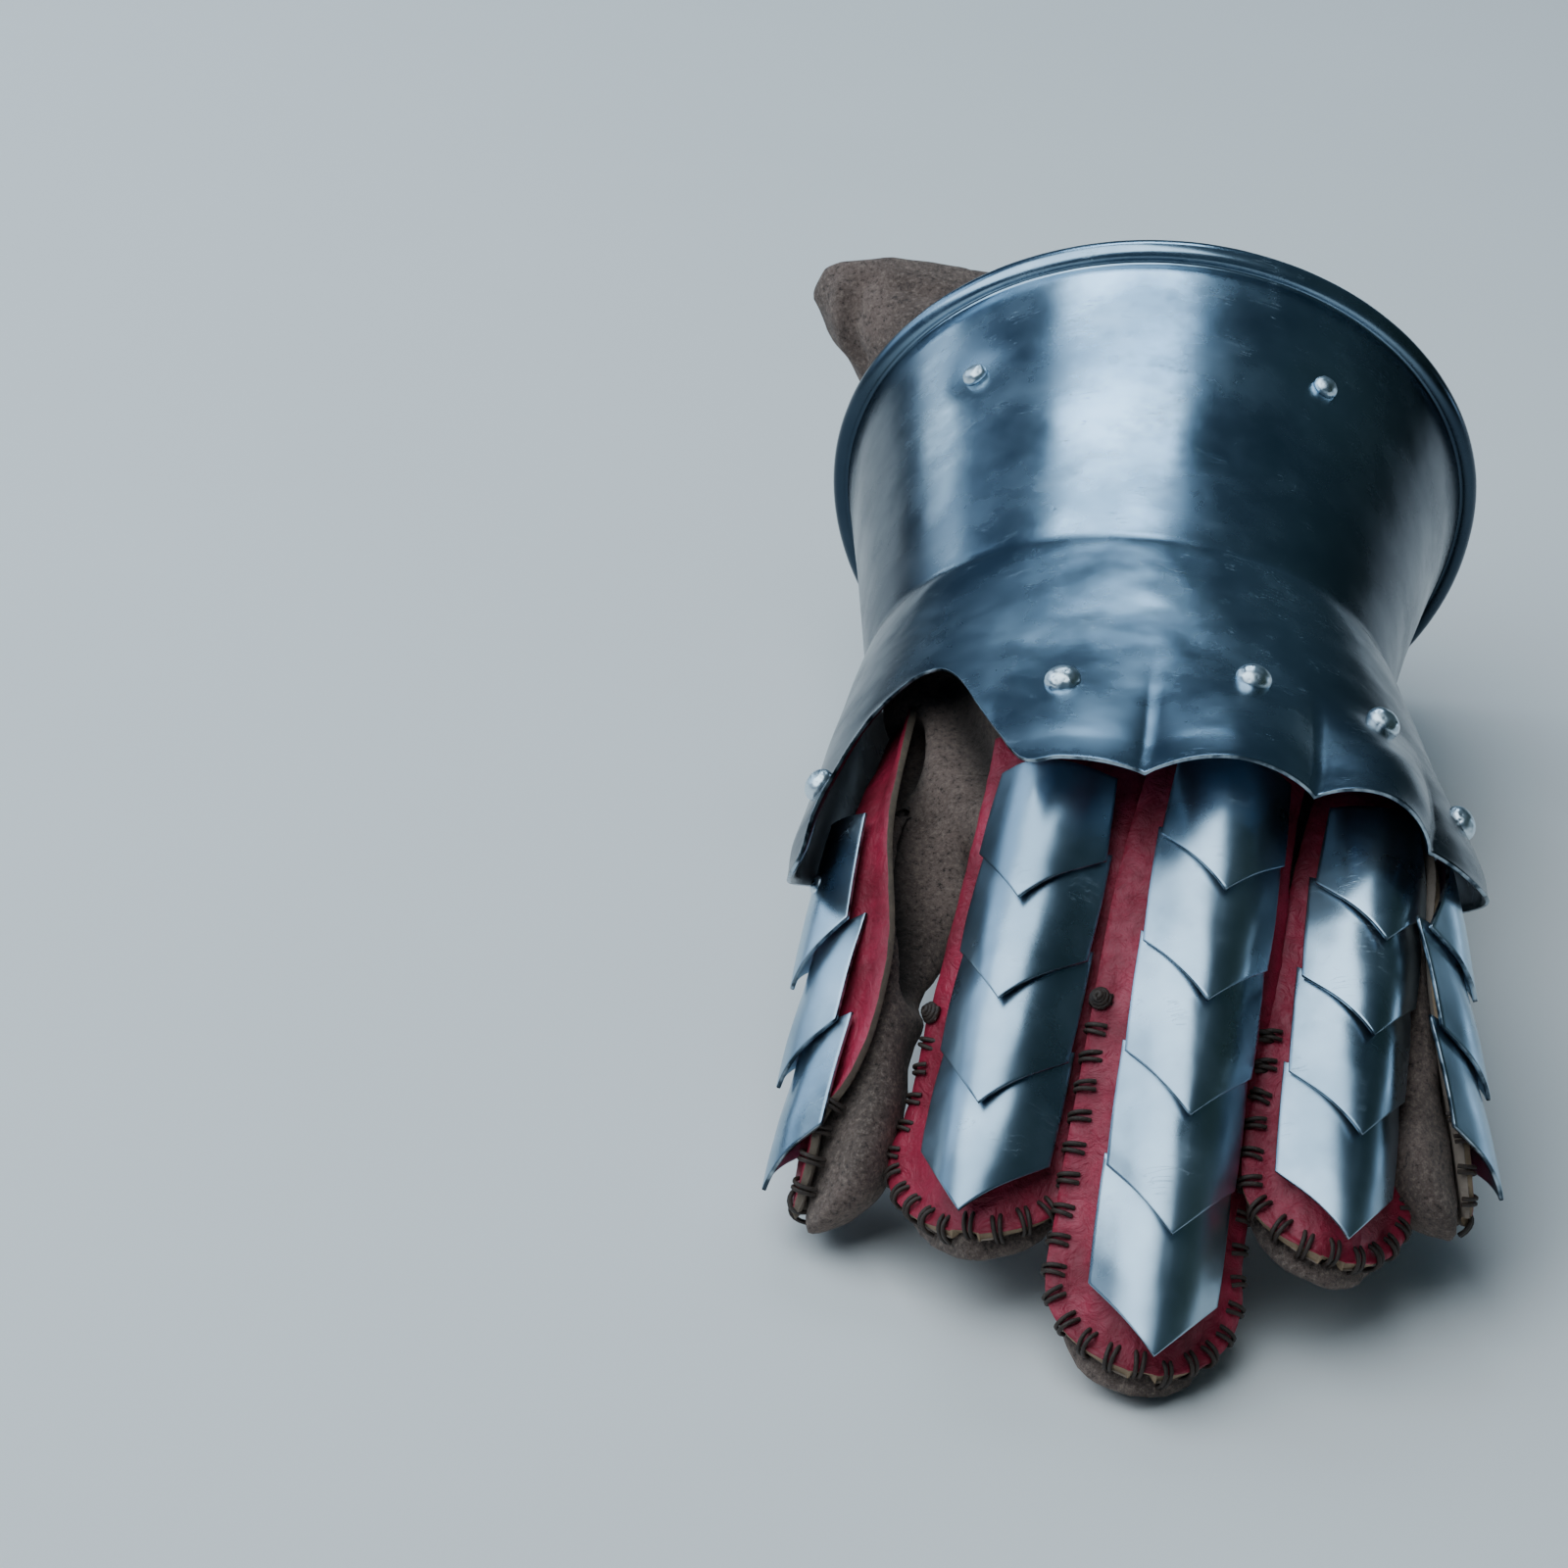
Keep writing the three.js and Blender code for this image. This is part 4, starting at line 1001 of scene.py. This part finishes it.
def polished_steel(name, dark, light, gloss, hammer=0.0002):
    finish = Finish(name, Metallic=1.0)
    mottle = finish.noise(28.0, 4.0)
    grey = finish.blend(finish.ramp(mottle, 0.35, 0.68), dark, light)
    stain = finish.ramp(finish.noise(60.0, 5.0, 0.6), 0.5, 0.85)
    grey = finish.blend(finish.times(stain, 0.3), grey, tuple(0.6 * c for c in dark))
    cuts = finish.maths("MAXIMUM", scratches(finish, 900.0, (20, 35, 25), 0.007, 1),
                        scratches(finish, 1100.0, (-30, 10, -50), 0.006, 2))
    grey = finish.blend(finish.times(cuts, 0.16), grey, (0.85, 0.88, 0.9))
    # Painted shade: where the side attribute grows, the steel turns dark navy, standing in for dark
    # reflections on the plate's sides.
    painted_side_shade = finish.add("ShaderNodeAttribute", attribute_name="painted_side_shade")["Fac"]
    grey = finish.blend(painted_side_shade, grey, finish.blend(mottle, (0.018, 0.032, 0.052), (0.06, 0.085, 0.11)))
    finish.drive("Base Color", grey)
    rough = finish.ramp(finish.noise(45.0, 4.0, 0.6), 0.3, 0.7, *gloss)
    rough = finish.maths("ADD", rough, finish.times(cuts, 0.12))
    rough = finish.maths("ADD", rough, finish.times(stain, 0.1))
    finish.drive("Roughness", rough)
    pits = finish.add("ShaderNodeTexVoronoi", {"Vector": finish.place, "Scale": 330.0})["Distance"]
    few = finish.ramp(finish.noise(120.0, 2.0), 0.66, 0.76)
    pitted = finish.times(finish.ramp(pits, 0.28, 0.1), few)
    height = finish.maths("SUBTRACT", finish.noise(62.0, 2.0, 0.4), finish.times(pitted, 0.08))
    rounded = finish.bump(height, hammer)
    scored = finish.bump(finish.maths("SUBTRACT", 1.0, cuts), 0.00002, 0.7, rounded)
    finish.drive("Normal", finish.bump(finish.noise(1400.0, 2.0), 0.00001, 0.6, scored))
    return finish.material


def hammered_steel():
    """The rivet heads: brighter and duller than the plate, with the marks of a small hammer."""
    finish = Finish("rivet steel", Metallic=1.0)
    finish.drive("Base Color", finish.blend(finish.noise(260.0, 3.0), (0.55, 0.66, 0.74), (0.8, 0.9, 0.96)))
    finish.drive("Roughness", finish.ramp(finish.noise(500.0), 0.3, 0.7, 0.26, 0.42))
    blows = finish.add("ShaderNodeTexVoronoi", {"Vector": finish.place, "Scale": 620.0}, feature="SMOOTH_F1")
    finish.drive("Normal", finish.bump(blows["Distance"], 0.00035, 0.8))
    return finish.material


def bright_edge(name):
    finish = Finish(name, Metallic=1.0, Roughness=0.34)
    bare = finish.ramp(finish.noise(220.0, 3.0), 0.38, 0.62)
    finish.drive("Base Color", finish.blend(bare, (0.05, 0.07, 0.09), (0.42, 0.5, 0.56)))
    finish.drive("Normal", finish.bump(finish.noise(900.0, 3.0), 0.00006))
    return finish.material


def red_leather():
    finish = Finish("red leather")
    tone = finish.ramp(finish.noise(60.0, 5.0, 0.6), 0.32, 0.7)
    red = finish.blend(tone, (0.2, 0.007, 0.022), (0.46, 0.026, 0.066))
    worn = finish.ramp(finish.noise(190.0, 4.0, 0.65), 0.6, 0.75)
    red = finish.blend(finish.times(worn, 0.4), red, (0.44, 0.09, 0.12))
    finish.drive("Base Color", red)
    finish.drive("Roughness", finish.ramp(tone, 0.0, 1.0, 0.56, 0.4))
    grain = finish.add("ShaderNodeTexVoronoi", {"Vector": finish.place, "Scale": 1100.0},
                       feature="SMOOTH_F1")["Distance"]
    pebbled = finish.bump(grain, 0.00012, 0.7)
    creased = finish.bump(finish.noise(240.0, 5.0, 0.68, distortion=0.9), 0.0011, 0.75, pebbled)
    finish.drive("Normal", creased)
    return finish.material


def raw_leather(name, dark, light):
    finish = Finish(name, Roughness=0.85)
    finish.drive("Base Color", finish.blend(finish.noise(420.0, 5.0, 0.7), dark, light))
    finish.drive("Normal", finish.bump(finish.noise(1500.0, 4.0, 0.7), 0.0003))
    return finish.material


def suede():
    finish = Finish("suede", Roughness=0.92, Sheen_Weight=0.3, Sheen_Roughness=0.45)
    finish.shader.inputs["Sheen Tint"].default_value = (0.62, 0.55, 0.48, 1)
    tone = finish.ramp(finish.noise(38.0, 5.0, 0.62), 0.32, 0.7)
    brown = finish.blend(tone, (0.095, 0.062, 0.05), (0.24, 0.16, 0.132))
    nap = finish.noise(900.0, 5.0, 0.85)
    brown = finish.blend(finish.times(finish.ramp(nap, 0.5, 0.64), 0.6), brown, (0.4, 0.3, 0.24))
    brown = finish.blend(finish.ramp(nap, 0.47, 0.36), brown, (0.03, 0.02, 0.016))
    # Painted shade: the suede goes almost black deep in the sunken folds.
    painted_fold_shade = finish.add("ShaderNodeAttribute", attribute_name="painted_fold_shade")["Fac"]
    brown = finish.blend(painted_fold_shade, brown, (0.008, 0.006, 0.006))
    finish.drive("Base Color", brown)
    fuzz = finish.bump(nap, 0.0009, 0.9)
    finish.drive("Normal", finish.bump(finish.noise(210.0, 4.0, 0.6), 0.0009, 0.7, fuzz))
    return finish.material


def waxed_thread():
    finish = Finish("waxed thread", Roughness=0.6)
    brown = finish.blend(finish.noise(500.0), (0.012, 0.008, 0.006), (0.065, 0.038, 0.026))
    finish.drive("Base Color", brown)
    finish.drive("Normal", finish.bump(finish.noise(2500.0, 2.0), 0.0002))
    return finish.material


# ---- camera, light and floor ----
VIEW_FROM = (-32.246, -787.778, 450.678)
VIEW_YAW, VIEW_PITCH, VIEW_ROLL = -3.2889, 28.4542, 2.492
LENS = 95.64


def place_camera():
    camera = bpy.data.cameras.new("view")
    camera.sensor_width = 36
    camera.lens = LENS
    holder = in_scene("view", camera)
    yaw, pitch, roll = (math.radians(angle) for angle in (VIEW_YAW, VIEW_PITCH, VIEW_ROLL))
    stand = Matrix.Translation(Vector((np.array(VIEW_FROM) + OFFSET) * MM))
    tilt = Matrix.Rotation(math.pi / 2 - pitch, 4, "X") @ Matrix.Rotation(roll, 4, "Z")
    holder.matrix_world = stand @ Matrix.Rotation(-yaw, 4, "Z") @ tilt
    bpy.context.scene.camera = holder


# Where each softbox stands: degrees to the right of straight back, degrees up, metres away; then its size.
SOFTBOXES = table(
    "name round up away size glow tint",
    ("back", -8, 46, 1.6, (0.72, 0.3), 6, (0.62, 0.82, 1)),
    ("overhead", -112, 62, 1.7, (2.1, 2), 2.9, (0.78, 0.91, 1)),
    ("left wall", -62, 22, 1.5, (0.95, 0.8), 1.6, (0.6, 0.8, 1)),
    ("left strip", -36, 12, 1.5, (0.12, 0.26), 4.4, (0.7, 0.87, 1)),
    ("right strip", 66, 2, 1.3, (0.35, 0.14), 3.4, (0.6, 0.8, 1)),
)


def place_lights():
    centre = Vector((0, 0, 0.07))
    for box in SOFTBOXES:
        light = bpy.data.lights.new(f"{box['name']} softbox", "AREA")
        light.shape = "RECTANGLE"
        light.size, light.size_y = box["size"]
        light.energy = box["glow"] * math.pi * light.size * light.size_y
        light.color = box["tint"]
        holder = in_scene(light.name, light)
        spun = Matrix.Rotation(-math.radians(box["round"]), 4, "Z")
        raised = Matrix.Rotation(math.radians(box["up"]), 4, "X")
        moved = Matrix.Translation((0, box["away"], 0))
        facing_back = Matrix.Rotation(-math.pi / 2, 4, "X")
        holder.matrix_world = Matrix.Translation(centre) @ spun @ raised @ moved @ facing_back


def fill_room():
    """Dim light all round: navy from the left, dark green from the right."""
    world = bpy.data.worlds.new("dim studio")
    bpy.context.scene.world = world
    world.use_nodes = True
    room = Nodes(world.node_tree)
    place = room.add("ShaderNodeTexCoord")["Generated"]
    across_room = room.add("ShaderNodeSeparateXYZ", {0: place})[0]
    share = room.add("ShaderNodeMapRange", {"Value": across_room, "From Min": -1.0})[0]
    colours = {6: (0.045, 0.085, 0.15, 1), 7: (0.02, 0.036, 0.03, 1)}
    colour = room.add("ShaderNodeMix", {0: share, **colours}, data_type="RGBA")[2]
    room.tree.links.new(colour, room.tree.nodes["Background"].inputs["Color"])


def lay_floor():
    bpy.ops.mesh.primitive_plane_add(size=6)
    floor = bpy.context.object
    floor.name = "studio_floor"
    paper = Finish("pale paper", Roughness=0.8)
    paper.drive("Base Color", paper.blend(paper.noise(9.0, 3.0), (0.86, 0.85, 0.83), (0.9, 0.89, 0.87)))
    floor.data.materials.append(paper.material)


# ---- the whole gauntlet ----
def build():
    edge = bright_edge("bright cut edge")
    plate_steel = polished_steel("plate steel", (0.25, 0.36, 0.47), (0.4, 0.54, 0.66), (0.19, 0.31))
    lame_steel = polished_steel("lame steel", (0.29, 0.4, 0.5), (0.46, 0.6, 0.72), (0.24, 0.36), 0.00015)
    rivet_steel = hammered_steel()
    red = red_leather()
    tan_edge = raw_leather("raw leather edge", (0.15, 0.1, 0.06), (0.46, 0.31, 0.19))
    grey_edge = raw_leather("grimy leather edge", (0.07, 0.052, 0.04), (0.27, 0.2, 0.14))
    flesh = raw_leather("flesh side", (0.2, 0.15, 0.12), (0.36, 0.28, 0.22))
    pieces = [make_plate([plate_steel, plate_steel, edge])]
    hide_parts("hourglass_plate")
    for name, finger in FINGERS.items():
        strip = make_strip(name, [red, flesh, grey_edge if name == "thumb" else tan_edge])
        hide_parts(f"strip_{name}")
        pieces.append(strip)
        for k in range(finger["lames"]):
            lame = make_lame(name, k, [lame_steel, lame_steel, edge])
            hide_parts(f"lame_{name}_{k + 1}")
            pieces.append(lame)
    nap = suede()
    glove = make_glove([nap, raw_leather("cut suede edge", (0.14, 0.1, 0.08), (0.26, 0.2, 0.16))])
    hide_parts("suede_glove")
    thread = waxed_thread()
    pieces += [glove, make_rivets(rivet_steel), make_stitches(thread), make_knots(thread)]
    for piece in pieces:
        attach(piece, "root")


build()
lay_floor()
place_camera()
place_lights()
fill_room()
